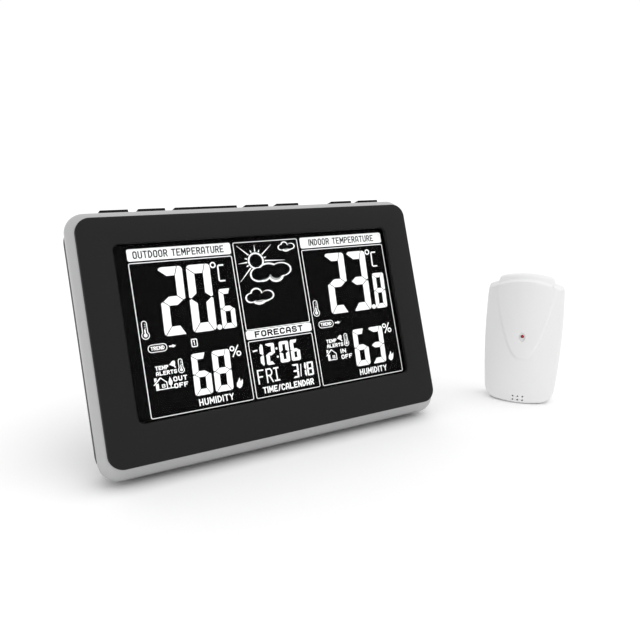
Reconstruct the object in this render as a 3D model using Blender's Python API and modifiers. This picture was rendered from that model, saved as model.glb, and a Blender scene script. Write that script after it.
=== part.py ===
"""Home weather station: a desk console with a wide display, and its remote outdoor sensor.

The console's own frame has x to the right, y into the case from the face of the bezel,
and z up the face from the bezel's centre; the whole frame then leans back.
The sensor's own frame has x across, y from the front corners to the back, and z up.
Lengths are in millimetres until a mesh is written.
"""
import math

import bmesh
import bpy
from mathutils import Matrix, Vector

MM = 0.001
GAP = 0.3

# Console: placing
LEAN = math.radians(19)
CONSOLE_X = -47.9
CONSOLE_Y = -11.4
CONSOLE_Z = 74.0

# Console: front
BEZEL_W, BEZEL_H, BEZEL_R = 205.0, 129.2, 8.0
BEZEL_T = 3.3
WINDOW_W, WINDOW_H, WINDOW_R = 170.6, 93.6, 3.5
WINDOW_Z = 3.05
LENS_Y, LENS_T, LENS_LAP = 2.7, 0.8, 2.7
LCD_Y, LCD_T, LCD_W, LCD_H = 3.8, 2.8, 171.6, 94.2

# Console: silver frame and rear cover
FRAME_BACK = 12.0
FRAME_W, FRAME_TOP, FRAME_BOTTOM, FRAME_R = 106.4, 69.2, -70.8, 10.5
COVER_Y, COVER_BACK, WALL = 12.3, 30.0, 2.0
HOLDER_W, HOLDER_H, HOLDER_R, HOLDER_BACK = 99.5, 61.5, 14.5, 11.3
BOARD_Y, BOARD_T = 11.6, 1.2

# Buttons along the top edge
KEY_W, KEY_GAP, KEY_LONG, KEY_SPACE = 15.2, 5.3, 37.8, 23.5
KEY_LEFT, KEY_TOP = -86.6, 71.4
KEY_Y, KEY_DEPTH, KEY_FOOT = 12.6, 7.8, 63.2
KEY_NAMES = ("mode_button", "set_button", "light_button", "up_button",
             "down_button", "alarm_button", "channel_button")

# Table stand
HINGE_Y, HINGE_Z = 27.4, 34.5
STAND_OPEN = math.radians(34)
STAND_W, STAND_T = 56.0, 3.4
STAND_LENGTH = 104.0
PAD_T = 2.0

# Battery compartment of the console: three AAA cells side by side
CELL_R, CELL_LENGTH, CELL_PITCH = 5.25, 44.5, 11.2
BAY_X, BAY_Z, BAY_W, BAY_H = 62.0, 6.0, 36.0, 54.0
BAY_FLOOR = 16.9
DOOR_T = 1.6

# Openings in the console's back: two wall keyholes, the power jack and the vents
KEYHOLE_X, KEYHOLE_Z, KEYHOLE_R, KEYHOLE_SLOT = 62.0, 46.0, 3.6, 1.7
JACK_X, JACK_Z, JACK_R = -70.0, -28.0, 3.6
VENT_X, VENT_Z, VENT_STEP_X, VENT_STEP_Z = -84.0, -2.0, 3.4, 6.5

# Remote sensor
SENSOR_TURN = math.radians(-50)
SENSOR_X, SENSOR_Y = 128.0, -33.8
SHELL_W, SHELL_WIDEST, SHELL_CURVE = 25.2, 52.0, 0.00107
SHELL_TOP, SHELL_ARCH, SHELL_FOOT_R = 86.4, 4.4, 5.0
SHELL_BULGE, SHELL_BACK, SHELL_SPLIT = 9.0, 14.0, 5.0
SHELL_WALL = 1.8
CAP_TOP, CAP_W, CAP_ARCH, CAP_FRONT = 90.0, 17.4, 2.4, -5.4
APRON_TIP, APRON_W, APRON_RISE, APRON_POWER = 30.7, 19.5, 0.9, 0.37
LED_Z = 47.4
SWITCH_X, SWITCH_Z, SWITCH_TRAVEL = -3.6, 9.3, 4.4


# ------------------------------------------------------------------ scene and helpers

def clear_scene():
    for obj in list(bpy.data.objects):
        bpy.data.objects.remove(obj, do_unlink=True)
    for group in list(bpy.data.collections):
        bpy.data.collections.remove(group)


clear_scene()
PARTS = bpy.data.collections.new("weather_station")
TOOLS = bpy.data.collections.new("cutters")
bpy.context.scene.collection.children.link(PARTS)
bpy.context.scene.collection.children.link(TOOLS)


def add_frame(name, place, turn):
    """An empty that carries one unit's own frame."""
    frame = bpy.data.objects.new(name, None)
    frame.location = Vector(place) * MM
    frame.rotation_euler = turn
    PARTS.objects.link(frame)
    return frame


CONSOLE = add_frame("console", (CONSOLE_X, CONSOLE_Y, CONSOLE_Z), (-LEAN, 0, 0))
SENSOR = add_frame("sensor", (SENSOR_X, SENSOR_Y, 0), (0, 0, SENSOR_TURN))


def finish(name, bm, parent, group, at=(0, 0, 0), turn=(0, 0, 0)):
    """Write a bmesh in millimetres as an object in metres."""
    bmesh.ops.recalc_face_normals(bm, faces=bm.faces)
    bmesh.ops.scale(bm, vec=(MM, MM, MM), verts=bm.verts)
    mesh = bpy.data.meshes.new(name)
    bm.to_mesh(mesh)
    bm.free()
    obj = bpy.data.objects.new(name, mesh)
    obj.parent = parent
    obj.location = Vector(at) * MM
    obj.rotation_euler = turn
    group.objects.link(obj)
    return obj


def piece(name, bm, look, parent, at=(0, 0, 0), turn=(0, 0, 0)):
    obj = finish(name, bm, parent, PARTS, at, turn)
    obj.data.materials.append(look)
    obj.data.shade_smooth()
    obj.data.set_sharp_from_angle(angle=math.radians(35))
    return obj


def tool(name, bm, parent, at=(0, 0, 0), turn=(0, 0, 0)):
    obj = finish(name, bm, parent, TOOLS, at, turn)
    obj.hide_render = True
    obj.display_type = "WIRE"
    return obj


def combine(obj, other, operation):
    change = obj.modifiers.new(other.name, "BOOLEAN")
    change.operation = operation
    change.solver = "EXACT"
    change.object = other


def cut(obj, other):
    combine(obj, other, "DIFFERENCE")


def join(obj, other):
    combine(obj, other, "UNION")


def keep(obj, other):
    combine(obj, other, "INTERSECT")


def soften(obj, width, steps=2):
    """Round the sharp edges by width, in millimetres."""
    change = obj.modifiers.new("soften", "BEVEL")
    change.width = width * MM
    change.segments = steps
    change.limit_method = "ANGLE"
    change.angle_limit = math.radians(50)


def block(bm, low, high):
    low = Vector(low)
    high = Vector(high)
    size = Matrix.Diagonal((*(high - low), 1))
    bmesh.ops.create_cube(bm, size=1, matrix=Matrix.Translation((low + high) / 2) @ size)


AXIS_TURN = {"X": Matrix.Rotation(math.pi / 2, 4, "Y"),
             "Y": Matrix.Rotation(-math.pi / 2, 4, "X"),
             "Z": Matrix.Identity(4)}


def rod(bm, centre, radius, length, axis, steps=16, far_radius=None):
    """A round bar about its centre; far_radius makes the far end a different size."""
    far = radius if far_radius is None else far_radius
    place = Matrix.Translation(centre) @ AXIS_TURN[axis]
    bmesh.ops.create_cone(bm, cap_ends=True, segments=steps, radius1=radius, radius2=far,
                          depth=length, matrix=place)


def skin(bm, rings):
    """A closed loft through rings of equal point counts."""
    loops = [[bm.verts.new(point) for point in ring] for ring in rings]
    for one, two in zip(loops, loops[1:]):
        for i in range(len(one)):
            j = (i + 1) % len(one)
            bm.faces.new((one[i], one[j], two[j], two[i]))
    bm.faces.new(loops[0][::-1])
    bm.faces.new(loops[-1])


def turned(bm, profile, steps=14):
    """A round piece about the y axis through (y, radius) stations."""
    rings = []
    for y, radius in profile:
        rings.append([(radius * math.cos(math.tau * k / steps), y,
                       radius * math.sin(math.tau * k / steps)) for k in range(steps)])
    skin(bm, rings)


def rounded(y, half_w, top, bottom, radius, steps=5):
    """A rounded rectangle in the plane of the given depth."""
    ring = []
    corners = ((1, top, 0), (-1, top, 90), (-1, bottom, 180), (1, bottom, 270))
    for side, edge, start in corners:
        centre_x = side * (half_w - radius)
        centre_z = edge - radius if edge == top else edge + radius
        for k in range(steps + 1):
            angle = math.radians(start + 90 * k / steps)
            ring.append((centre_x + radius * math.cos(angle), y,
                         centre_z + radius * math.sin(angle)))
    return ring


def plate(bm, y, depth, half_w, half_h, centre_z, radius, steps=4):
    rings = [rounded(level, half_w, centre_z + half_h, centre_z - half_h, radius, steps)
             for level in (y, y + depth)]
    skin(bm, rings)


def look(name, colour, roughness, metallic=0.0, alpha=1.0):
    mat = bpy.data.materials.new(name)
    mat.use_nodes = True
    shader = mat.node_tree.nodes["Principled BSDF"]
    shader.inputs["Base Color"].default_value = (*colour, 1)
    shader.inputs["Roughness"].default_value = roughness
    shader.inputs["Metallic"].default_value = metallic
    shader.inputs["Alpha"].default_value = alpha
    return mat


# ------------------------------------------------------------------ console: front

def front_bezel():
    """The black front plate, with the display window and a pocket behind it for the lens."""
    half_w, half_h = BEZEL_W / 2, BEZEL_H / 2
    edge = 0.6
    bm = bmesh.new()
    skin(bm, [rounded(0, half_w - edge, half_h - edge, edge - half_h, BEZEL_R - edge),
              rounded(edge, half_w, half_h, -half_h, BEZEL_R),
              rounded(BEZEL_T, half_w, half_h, -half_h, BEZEL_R)])
    obj = piece("front_bezel", bm, look("front_bezel", (0.026, 0.026, 0.026), 0.55), CONSOLE)
    bm = bmesh.new()
    plate(bm, -2, BEZEL_T + 4, WINDOW_W / 2, WINDOW_H / 2, WINDOW_Z, WINDOW_R)
    cut(obj, tool("window_cutter", bm, CONSOLE))
    bm = bmesh.new()
    lap = LENS_LAP + GAP
    plate(bm, LENS_Y - GAP, BEZEL_T, WINDOW_W / 2 + lap, WINDOW_H / 2 + lap, WINDOW_Z, 2)
    cut(obj, tool("lens_pocket_cutter", bm, CONSOLE))


def display_window():
    bm = bmesh.new()
    plate(bm, LENS_Y, LENS_T, WINDOW_W / 2 + LENS_LAP, WINDOW_H / 2 + LENS_LAP, WINDOW_Z, 2)
    piece("display_window", bm, look("display_window", (0.9, 0.92, 0.93), 0.05, 0, 0.2), CONSOLE)


def silver_frame():
    """The bright ring that flares outwards behind the bezel."""
    step = (FRAME_W - BEZEL_W / 2, FRAME_TOP - BEZEL_H / 2, FRAME_BOTTOM + BEZEL_H / 2)
    rings = []
    for y, share in ((BEZEL_T + GAP, 0.12), (5.6, 0.5), (7.8, 0.82), (9.9, 1), (FRAME_BACK, 1)):
        rings.append(rounded(y, BEZEL_W / 2 + step[0] * share, BEZEL_H / 2 + step[1] * share,
                             -BEZEL_H / 2 + step[2] * share,
                             BEZEL_R + (FRAME_R - BEZEL_R) * share))
    bm = bmesh.new()
    skin(bm, rings)
    metal = look("silver_frame", (0.55, 0.55, 0.56), 0.35, 0.8)
    obj = piece("silver_frame", bm, metal, CONSOLE)
    bm = bmesh.new()
    plate(bm, 0, FRAME_BACK + 4, HOLDER_W + 0.5, HOLDER_H + 0.5, 0, HOLDER_R)
    cut(obj, tool("frame_cutter", bm, CONSOLE))


# ------------------------------------------------------------------ console: display stack

POSTS = ((-92.5, 53.5), (92.5, 53.5), (-92.5, -55.0), (92.5, -55.0))
BOARD_SCREWS = ((-60, 52.5), (60, -48))
POST_END = 21.5


def lcd_holder():
    """The inner frame that carries the display, the board and the four case screws."""
    bm = bmesh.new()
    plate(bm, LCD_Y + GAP, HOLDER_BACK - LCD_Y - GAP, HOLDER_W, HOLDER_H, 0, HOLDER_R)
    obj = piece("lcd_holder", bm, look("lcd_holder", (0.05, 0.05, 0.05), 0.6), CONSOLE)
    bm = bmesh.new()
    plate(bm, 0, HOLDER_BACK + 2, LCD_W / 2 + GAP, LCD_H / 2 + GAP, WINDOW_Z, 1, 2)
    cut(obj, tool("lcd_cutter", bm, CONSOLE))
    bm = bmesh.new()
    for x, z in POSTS:
        rod(bm, (x, (8 + POST_END) / 2, z), 3.0, POST_END - 8, "Y")
    join(obj, tool("post_tool", bm, CONSOLE))
    bm = bmesh.new()
    for x, z in POSTS:
        rod(bm, (x, 16, z), 1.5, 13, "Y", 12)
    for x, z in BOARD_SCREWS:
        rod(bm, (x, 9.5, z), 1.2, 6, "Y", 12)
    cut(obj, tool("post_hole_cutter", bm, CONSOLE))


def lcd_panel():
    bm = bmesh.new()
    plate(bm, LCD_Y, LCD_T, LCD_W / 2, LCD_H / 2, WINDOW_Z, 0.6, 2)
    piece("lcd_panel", bm, look("lcd_panel", (0.004, 0.004, 0.004), 0.25), CONSOLE)


def light_guide():
    """The backlight plate; it stops short of the display's lower contact edge."""
    bm = bmesh.new()
    block(bm, (-84, 6.9, -39.5), (84, 10.4, 45.5))
    obj = piece("light_guide", bm, look("light_guide", (0.85, 0.87, 0.88), 0.3), CONSOLE)
    soften(obj, 0.5)


def lcd_connector():
    """The rubber strip that joins the display glass to the board."""
    bm = bmesh.new()
    block(bm, (-75, 6.9, -43.4), (75, 11.3, -41.0))
    piece("lcd_connector", bm, look("lcd_connector", (0.4, 0.05, 0.05), 0.7), CONSOLE)


def main_board():
    bm = bmesh.new()
    block(bm, (-86.5, BOARD_Y, -50.5), (86.5, BOARD_Y + BOARD_T, 55.5))
    obj = piece("main_board", bm, look("main_board", (0.02, 0.12, 0.05), 0.45), CONSOLE)
    bm = bmesh.new()
    for x, z in BOARD_SCREWS:
        rod(bm, (x, BOARD_Y, z), 1.2, 6, "Y", 12)
    cut(obj, tool("board_hole_cutter", bm, CONSOLE))
    bm = bmesh.new()
    top = BOARD_Y + BOARD_T
    block(bm, (-48, top - 0.2, -12), (-30, top + 1.8, 6))
    block(bm, (-10, top - 0.2, 20), (4, top + 1.6, 30))
    join(obj, tool("board_chip_tool", bm, CONSOLE))


def screw(name, place, parent, steel, head, shank):
    """A slotted pan-head screw driven in along -y; its origin is under the head.

    head is the head's radius and height, shank the radius and length below it.
    """
    head_r, head_t = head
    shank_r, length = shank
    bm = bmesh.new()
    turned(bm, ((-length, shank_r * 0.4), (1 - length, shank_r), (0, shank_r), (0, head_r),
                (head_t * 0.6, head_r), (head_t, head_r * 0.75)))
    obj = piece(name, bm, steel, parent, place)
    bm = bmesh.new()
    block(bm, (-head_r * 0.7, head_t - 0.5, -0.3), (head_r * 0.7, head_t + 1, 0.3))
    cut(obj, tool(name + "_slot_cutter", bm, parent, place))


# ------------------------------------------------------------------ console: rear cover

def cover_rings(grow=0.0, front=COVER_Y, back=COVER_BACK):
    """Sections of the rear cover, drawn larger or smaller by grow."""
    return [rounded(front, 106.0 + grow, 68.4 + grow, -69.9 - grow, 12 + grow),
            rounded(22 + grow, 105.6 + grow, 67.9 + grow, -69.3 - grow, 12 + grow),
            rounded(27 + grow, 101.2 + grow, 64.6 + grow, -66.8 - grow, 10 + grow),
            rounded(back, 96.5 + grow, 60 + grow, -63 - grow, 8 + grow)]


def key_spans():
    """Left and right edge of every button, from left to right."""
    spans = []
    left = KEY_LEFT
    for index in range(len(KEY_NAMES)):
        width = KEY_LONG if index == 2 else KEY_W
        if index == 5:
            left += KEY_SPACE - KEY_GAP
        spans.append((left, left + width))
        left += width + KEY_GAP
    return spans


def rear_cover():
    """The back shell, with bays for the stand and cells and openings for keys and jack."""
    bm = bmesh.new()
    skin(bm, cover_rings())
    obj = piece("rear_cover", bm, look("rear_cover", (0.02, 0.02, 0.021), 0.5), CONSOLE)

    bm = bmesh.new()
    skin(bm, cover_rings(-WALL, COVER_Y - 3, COVER_BACK - WALL))
    cavity = tool("cover_cavity_cutter", bm, CONSOLE)
    bay = ((BAY_X - BAY_W / 2, BAY_Z - BAY_H / 2), (BAY_X + BAY_W / 2, BAY_Z + BAY_H / 2))
    half = STAND_W / 2 + 1.5
    bm = bmesh.new()
    rim = 3.5
    block(bm, (bay[0][0] - rim, BAY_FLOOR - 1.3, bay[0][1] - rim),
          (bay[1][0] + rim, 40, bay[1][1] + rim))
    block(bm, (-half - 1.8, 23.2, -80), (half + 1.8, 40, HINGE_Z + 6.3))
    for x, z in POSTS:
        rod(bm, (x, 32, z), 3.8, 20, "Y")
    cut(cavity, tool("bay_wall_tool", bm, CONSOLE))
    cut(obj, cavity)

    bm = bmesh.new()
    block(bm, (bay[0][0], BAY_FLOOR, bay[0][1]), (bay[1][0], 40, bay[1][1]))
    block(bm, (-half, 25.0, -80), (half, 40, HINGE_Z + 4.5))
    for left, right in key_spans():
        block(bm, (left - GAP, COVER_Y - 1, 60), (right + GAP, KEY_Y + KEY_DEPTH + GAP, 75))
    cut(obj, tool("bay_cutter", bm, CONSOLE))

    bm = bmesh.new()
    block(bm, (bay[0][0] - 2, COVER_BACK - DOOR_T - GAP, bay[0][1] - 2),
          (bay[1][0] + 2, 40, bay[1][1] + 2))
    for x, z in POSTS:
        rod(bm, (x, 35.5, z), 3.0, 20, "Y")
    cut(obj, tool("door_step_cutter", bm, CONSOLE))

    bm = bmesh.new()
    for x, z in POSTS:
        rod(bm, (x, 24, z), 1.6, 12, "Y", 12)
    rod(bm, (0, HINGE_Y, HINGE_Z), 1.15, STAND_W + 20, "X", 16)
    rod(bm, (JACK_X, COVER_BACK, JACK_Z), JACK_R, 10, "Y", 20)
    for row in range(3):
        for column in range(6):
            x = VENT_X + VENT_STEP_X * column
            z = VENT_Z + VENT_STEP_Z * row
            block(bm, (x - 0.7, 20, z - 2.2), (x + 0.7, 40, z + 2.2))
    cut(obj, tool("cover_hole_cutter", bm, CONSOLE))

    # Two keyholes for hanging on a wall: a round entry below a narrow slot.
    for x in (-KEYHOLE_X, KEYHOLE_X):
        bm = bmesh.new()
        rod(bm, (0, 34, KEYHOLE_Z), KEYHOLE_R, 20, "Y", 20)
        cut(obj, tool("keyhole_cutter", bm, CONSOLE, (x, 0, 0)))
        bm = bmesh.new()
        plate(bm, 24, 20, KEYHOLE_SLOT, 5.2, KEYHOLE_Z + 3.5, KEYHOLE_SLOT - 0.01)
        cut(obj, tool("keyhole_slot_cutter", bm, CONSOLE, (x, 0, 0)))


def console_feet():
    """Two rubber feet under the cover: flat below, shaped to the cover above."""
    rubber = look("console_feet", (0.03, 0.03, 0.03), 0.85)
    for name, x in (("console_foot_left", -75), ("console_foot_right", 75)):
        centre = CONSOLE_X + x
        bm = bmesh.new()
        block(bm, (centre - 13, CONSOLE_Y - 5.5, 0), (centre + 13, CONSOLE_Y + 2.5, 5))
        obj = piece(name, bm, rubber, None)
        bm = bmesh.new()
        skin(bm, cover_rings(GAP, 5))
        cut(obj, tool(name + "_cutter", bm, CONSOLE))


# ------------------------------------------------------------------ console: buttons

def buttons():
    plastic = look("button", (0.022, 0.022, 0.022), 0.42)
    for name, (left, right) in zip(KEY_NAMES, key_spans()):
        half = (right - left) / 2
        bm = bmesh.new()
        block(bm, (-half, 0, 0), (half, KEY_DEPTH, KEY_TOP - KEY_FOOT))
        at = ((left + right) / 2, KEY_Y, KEY_FOOT)
        obj = piece(name, bm, plastic, CONSOLE, at)
        soften(obj, 0.7)
        bm = bmesh.new()
        block(bm, (-half - 1.6, 0.2, -0.4), (half + 1.6, KEY_DEPTH + 0.9, 0.8))
        join(obj, tool(name + "_flange_tool", bm, CONSOLE, at))


def button_board():
    """The narrow board along the top, with one small push switch under each button."""
    bm = bmesh.new()
    block(bm, (-90, 13.3, 56.6), (94, 21.8, 57.8))
    obj = piece("button_board", bm, look("button_board", (0.02, 0.12, 0.05), 0.45), CONSOLE)
    bm = bmesh.new()
    for left, right in key_spans():
        x = (left + right) / 2
        block(bm, (x - 2.6, 14, 57.6), (x + 2.6, 19.2, 60.3))
    join(obj, tool("switch_tool", bm, CONSOLE))
    bm = bmesh.new()
    for left, right in key_spans():
        rod(bm, ((left + right) / 2, 16.6, 60.8), 1.5, 1.8, "Z", 12)
    join(obj, tool("switch_plunger_tool", bm, CONSOLE))


# ------------------------------------------------------------------ console: stand

def table_stand():
    """The fold-out leg. Its own frame has its origin on the hinge axis."""
    bm = bmesh.new()
    half = STAND_W / 2
    block(bm, (-half, -1.7, -STAND_LENGTH), (half, STAND_T - 1.7, -0.5))
    at = (0, HINGE_Y, HINGE_Z)
    turn = (STAND_OPEN, 0, 0)
    plastic = look("table_stand", (0.02, 0.02, 0.021), 0.5)
    obj = piece("table_stand", bm, plastic, CONSOLE, at, turn)
    bm = bmesh.new()
    rod(bm, (0, 0, 0), 2.2, STAND_W, "X", 20)
    join(obj, tool("stand_barrel_tool", bm, CONSOLE, at, turn))
    bm = bmesh.new()
    rod(bm, (0, 0, 0), 1.15, STAND_W + 8, "X", 16)
    cut(obj, tool("stand_bore_cutter", bm, CONSOLE, at, turn))
    bm = bmesh.new()
    block(bm, (-21, STAND_T - 2.7, -88), (21, 8, -14))
    cut(obj, tool("stand_pocket_cutter", bm, CONSOLE, at, turn))
    bm = bmesh.new()
    block(bm, (-200, -200, -60), (200, 200, PAD_T + GAP))
    cut(obj, tool("stand_end_cutter", bm, None))


def stand_tip():
    """Where the leg's centre line meets the floor, in the world frame, in millimetres."""
    hinge_y = CONSOLE_Y + HINGE_Y * math.cos(LEAN) + HINGE_Z * math.sin(LEAN)
    hinge_z = CONSOLE_Z - HINGE_Y * math.sin(LEAN) + HINGE_Z * math.cos(LEAN)
    return hinge_y + hinge_z * math.tan(STAND_OPEN - LEAN)


def stand_pad():
    bm = bmesh.new()
    y = stand_tip()
    block(bm, (CONSOLE_X - 24, y - 2.2, 0), (CONSOLE_X + 24, y + 1.6, PAD_T))
    obj = piece("stand_pad", bm, look("stand_pad", (0.03, 0.03, 0.03), 0.85), None)
    soften(obj, 0.3, 1)


def stand_pin():
    bm = bmesh.new()
    rod(bm, (0, HINGE_Y, HINGE_Z), 1.08, STAND_W + 6, "X", 16)
    piece("stand_pin", bm, look("stand_pin", (0.6, 0.6, 0.6), 0.3, 1), CONSOLE)


# ------------------------------------------------------------------ console: battery bay

def battery_door():
    half_w, half_h = BAY_W / 2 + 1.7, BAY_H / 2 + 1.7
    bm = bmesh.new()
    block(bm, (-half_w, -DOOR_T, -half_h), (half_w, 0, half_h))
    at = (BAY_X, COVER_BACK, BAY_Z)
    plastic = look("battery_door", (0.02, 0.02, 0.021), 0.5)
    obj = piece("battery_door", bm, plastic, CONSOLE, at)
    bm = bmesh.new()
    for k in range(5):
        z = half_h - 5 - 1.8 * k
        block(bm, (-7, -0.5, z - 0.4), (7, 1, z + 0.4))
    cut(obj, tool("door_grip_cutter", bm, CONSOLE, at))


def cell(name, place, parent, plus_up):
    """One upright cell with its raised end."""
    half = CELL_LENGTH / 2
    bm = bmesh.new()
    turned(bm, ((-half, CELL_R - 0.5), (0.5 - half, CELL_R), (half - 1.5, CELL_R),
                (half - 1, CELL_R - 0.5), (half - 1, 1.9), (half, 1.9)), 20)
    turn = (math.pi / 2 if plus_up else -math.pi / 2, 0, 0)
    piece(name, bm, look(name, (0.05, 0.18, 0.35), 0.35, 0.4), parent, place, turn)


def contact(name, ends, y, z, inwards, parent):
    """A plate at one end of one or two cells; ends holds (x, True for a spring)."""
    low = min(x for x, _ in ends) - 4
    high = max(x for x, _ in ends) + 4
    bm = bmesh.new()
    block(bm, (low, y - 4, min(z, z + 0.5 * inwards)), (high, y + 4, max(z, z + 0.5 * inwards)))
    obj = piece(name, bm, look(name, (0.7, 0.7, 0.68), 0.3, 1), parent)
    bm = bmesh.new()
    for x, spring in ends:
        base, tip = (3.4, 2.2) if spring else (2.2, 1.4)
        height = 3.2 if spring else 1.6
        radii = (base, tip) if inwards > 0 else (tip, base)
        middle = z + inwards * (0.3 + height / 2)
        rod(bm, (x, y, middle), radii[0], height, "Z", 14, radii[1])
    join(obj, tool(name + "_tip_tool", bm, parent))


def battery_set(prefix, places, y, low, high, parent):
    """Cells in series, every second one turned over, with their contact plates."""
    middle = (low + high) / 2
    for index, x in enumerate(places):
        cell(f"{prefix}_cell_{index + 1}", (x, y, middle), parent, index % 2 == 0)
    # A plate spans two cells wherever the chain crosses over, and one cell at each end.
    for level, inwards, first in ((low, 1, 0), (high, -1, 1)):
        groups = [places[:1]] if first else []
        rest = places[first:]
        groups += [rest[k:k + 2] for k in range(0, len(rest), 2)]
        for group in groups:
            ends = [(x, (places.index(x) % 2 == 0) == (inwards > 0)) for x in group]
            numbers = "_".join(str(places.index(x) + 1) for x in group)
            side = "lower" if inwards > 0 else "upper"
            contact(f"{prefix}_contact_{side}_{numbers}", ends, y, level, inwards, parent)


# ------------------------------------------------------------------ console: electronics

def receiver_module():
    bm = bmesh.new()
    block(bm, (-30, 15.2, 10), (-12, 16.2, 40))
    obj = piece("receiver_module", bm, look("receiver_module", (0.03, 0.07, 0.2), 0.45), CONSOLE)
    bm = bmesh.new()
    block(bm, (-26, 16.0, 14), (-17, 18.2, 24))
    join(obj, tool("module_can_tool", bm, CONSOLE))


def wire(name, points, radius, colour, parent):
    """A fine wire along a poly line of points, with closed ends."""
    curve = bpy.data.curves.new(name, "CURVE")
    curve.dimensions = "3D"
    curve.bevel_depth = radius * MM
    curve.bevel_resolution = 2
    curve.use_fill_caps = True
    spline = curve.splines.new("POLY")
    spline.points.add(len(points) - 1)
    for point, place in zip(spline.points, points):
        point.co = (*(Vector(place) * MM), 1)
    obj = bpy.data.objects.new(name, curve)
    obj.parent = parent
    PARTS.objects.link(obj)
    curve.materials.append(look(name, colour, 0.4))


def helix(turns, radius, pitch, start, steps=7):
    """Points of a coil that runs along x from start."""
    count = turns * steps
    return [(start[0] + pitch * k / steps, start[1] + radius * math.sin(math.tau * k / steps),
             start[2] + radius * math.cos(math.tau * k / steps)) for k in range(count + 1)]


def buzzer():
    bm = bmesh.new()
    rod(bm, (-50, 19.5, -34), 7.0, 5.5, "Y", 24)
    obj = piece("buzzer", bm, look("buzzer", (0.03, 0.03, 0.03), 0.4), CONSOLE)
    bm = bmesh.new()
    rod(bm, (-50, 22, -34), 1.2, 3, "Y", 12)
    cut(obj, tool("buzzer_hole_cutter", bm, CONSOLE))


def room_sensor():
    """Temperature and humidity element behind the vent slots."""
    bm = bmesh.new()
    block(bm, (-82, 16, -3), (-71, 20, 9))
    obj = piece("room_sensor", bm, look("room_sensor", (0.85, 0.85, 0.83), 0.5), CONSOLE)
    soften(obj, 0.6)


def dc_jack():
    bm = bmesh.new()
    block(bm, (JACK_X - 4.5, 16, JACK_Z - 5), (JACK_X + 4.5, 27.4, JACK_Z + 5))
    obj = piece("dc_jack", bm, look("dc_jack", (0.03, 0.03, 0.03), 0.4), CONSOLE)
    bm = bmesh.new()
    rod(bm, (JACK_X, 24, JACK_Z), JACK_R - 0.6, 12, "Y", 20)
    cut(obj, tool("jack_bore_cutter", bm, CONSOLE))


# ------------------------------------------------------------------ remote sensor

def half_width(z):
    """Half the shell's width at a height: the sides bow gently outwards."""
    return SHELL_W - SHELL_CURVE * (z - SHELL_WIDEST) ** 2


def front_view(inset=0.0, steps=8):
    """The shell's outline seen from the front, as (x, z) points."""
    right = []
    for k in range(4):
        angle = math.radians(-90 + 30 * k)
        foot = half_width(0) - SHELL_FOOT_R
        right.append((foot + SHELL_FOOT_R * math.cos(angle) - inset,
                      SHELL_FOOT_R + SHELL_FOOT_R * math.sin(angle)))
    shoulder = SHELL_TOP - SHELL_ARCH
    for k in range(1, steps + 1):
        z = SHELL_FOOT_R + (shoulder - 1.5 - SHELL_FOOT_R) * k / steps
        right.append((half_width(z) - inset, z))
    top_w = half_width(shoulder) - 1.2
    for k in range(steps + 1):
        x = top_w * (1 - k / steps)
        right.append((x - (inset if x > 0 else 0), SHELL_TOP - SHELL_ARCH * (x / top_w) ** 2))
    squeeze = 1 - 2 * inset / SHELL_TOP
    right = [(x, inset + z * squeeze) for x, z in right]
    left = [(-x, z) for x, z in reversed(right[:-1])]
    return right + left


def plan_view(inset=0.0, front=0.0, steps=12):
    """The shell's outline seen from above, as (x, y) points: a bowed front, flat back."""
    wide = SHELL_W + 1 - inset
    points = []
    for k in range(steps + 1):
        x = wide * (2 * k / steps - 1)
        bow = SHELL_BULGE * (1 - (x / (SHELL_W + 1)) ** 2)
        points.append((x, front + inset - bow))
    back = SHELL_BACK - inset
    corner = 4 - inset / 2
    for k in range(4):
        angle = math.radians(30 * k)
        points.append((wide - corner + corner * math.cos(angle),
                       back - corner + corner * math.sin(angle)))
    for k in range(4):
        angle = math.radians(90 + 30 * k)
        points.append((corner - wide + corner * math.cos(angle),
                       back - corner + corner * math.sin(angle)))
    return points


def prism_y(bm, outline, low, high):
    skin(bm, [[(x, y, z) for x, z in outline] for y in (low, high)])


def prism_z(bm, outline, low, high):
    skin(bm, [[(x, y, z) for x, y in outline] for z in (low, high)])


def cap_view(inset=0.0):
    """The raised top seen from the front: narrower upwards, with an arched top."""
    base = SHELL_TOP - 8
    points = [(-APRON_W + inset, base), (APRON_W - inset, base)]
    for k in range(9):
        x = CAP_W * (1 - k / 4)
        points.append((x * (1 - inset / CAP_W), CAP_TOP - inset - CAP_ARCH * (x / CAP_W) ** 2))
    return points


def apron_view(steps=10):
    """The raised apron seen from the front: wide at the top, rounded tip below."""
    top = SHELL_TOP - 1.2
    right = []
    for k in range(steps + 1):
        share = (k / steps) ** 2
        right.append((APRON_W * share ** APRON_POWER, APRON_TIP + (top - APRON_TIP) * share))
    left = [(-x, z) for x, z in reversed(right[1:])]
    return right + left


def shell_solid(name, inset, low, high):
    """The sensor's body, or its hollow when inset, between two depths."""
    bm = bmesh.new()
    prism_z(bm, plan_view(inset), -10, 120)
    body = tool(name + "_plan", bm, SENSOR)
    bm = bmesh.new()
    prism_y(bm, front_view(inset), -30, 30)
    keep(body, tool(name + "_view", bm, SENSOR))
    bm = bmesh.new()
    prism_z(bm, plan_view(inset, SHELL_BULGE + CAP_FRONT), -10, 120)
    cap = tool(name + "_cap", bm, SENSOR)
    bm = bmesh.new()
    prism_y(bm, cap_view(inset), -30, 30)
    keep(cap, tool(name + "_cap_view", bm, SENSOR))
    join(body, cap)
    bm = bmesh.new()
    block(bm, (-60, low, -20), (60, high, 130))
    keep(body, tool(name + "_depth", bm, SENSOR))
    return body


SENSOR_POSTS = ((-18, 8), (18, 8), (-19.5, 77), (19.5, 77))
SENSOR_CELLS = (-5.7, 5.7)
SENSOR_BAY = (13.0, 14.0, 67.0)
WHITE = look("sensor_shell", (0.82, 0.82, 0.82), 0.45)


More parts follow.
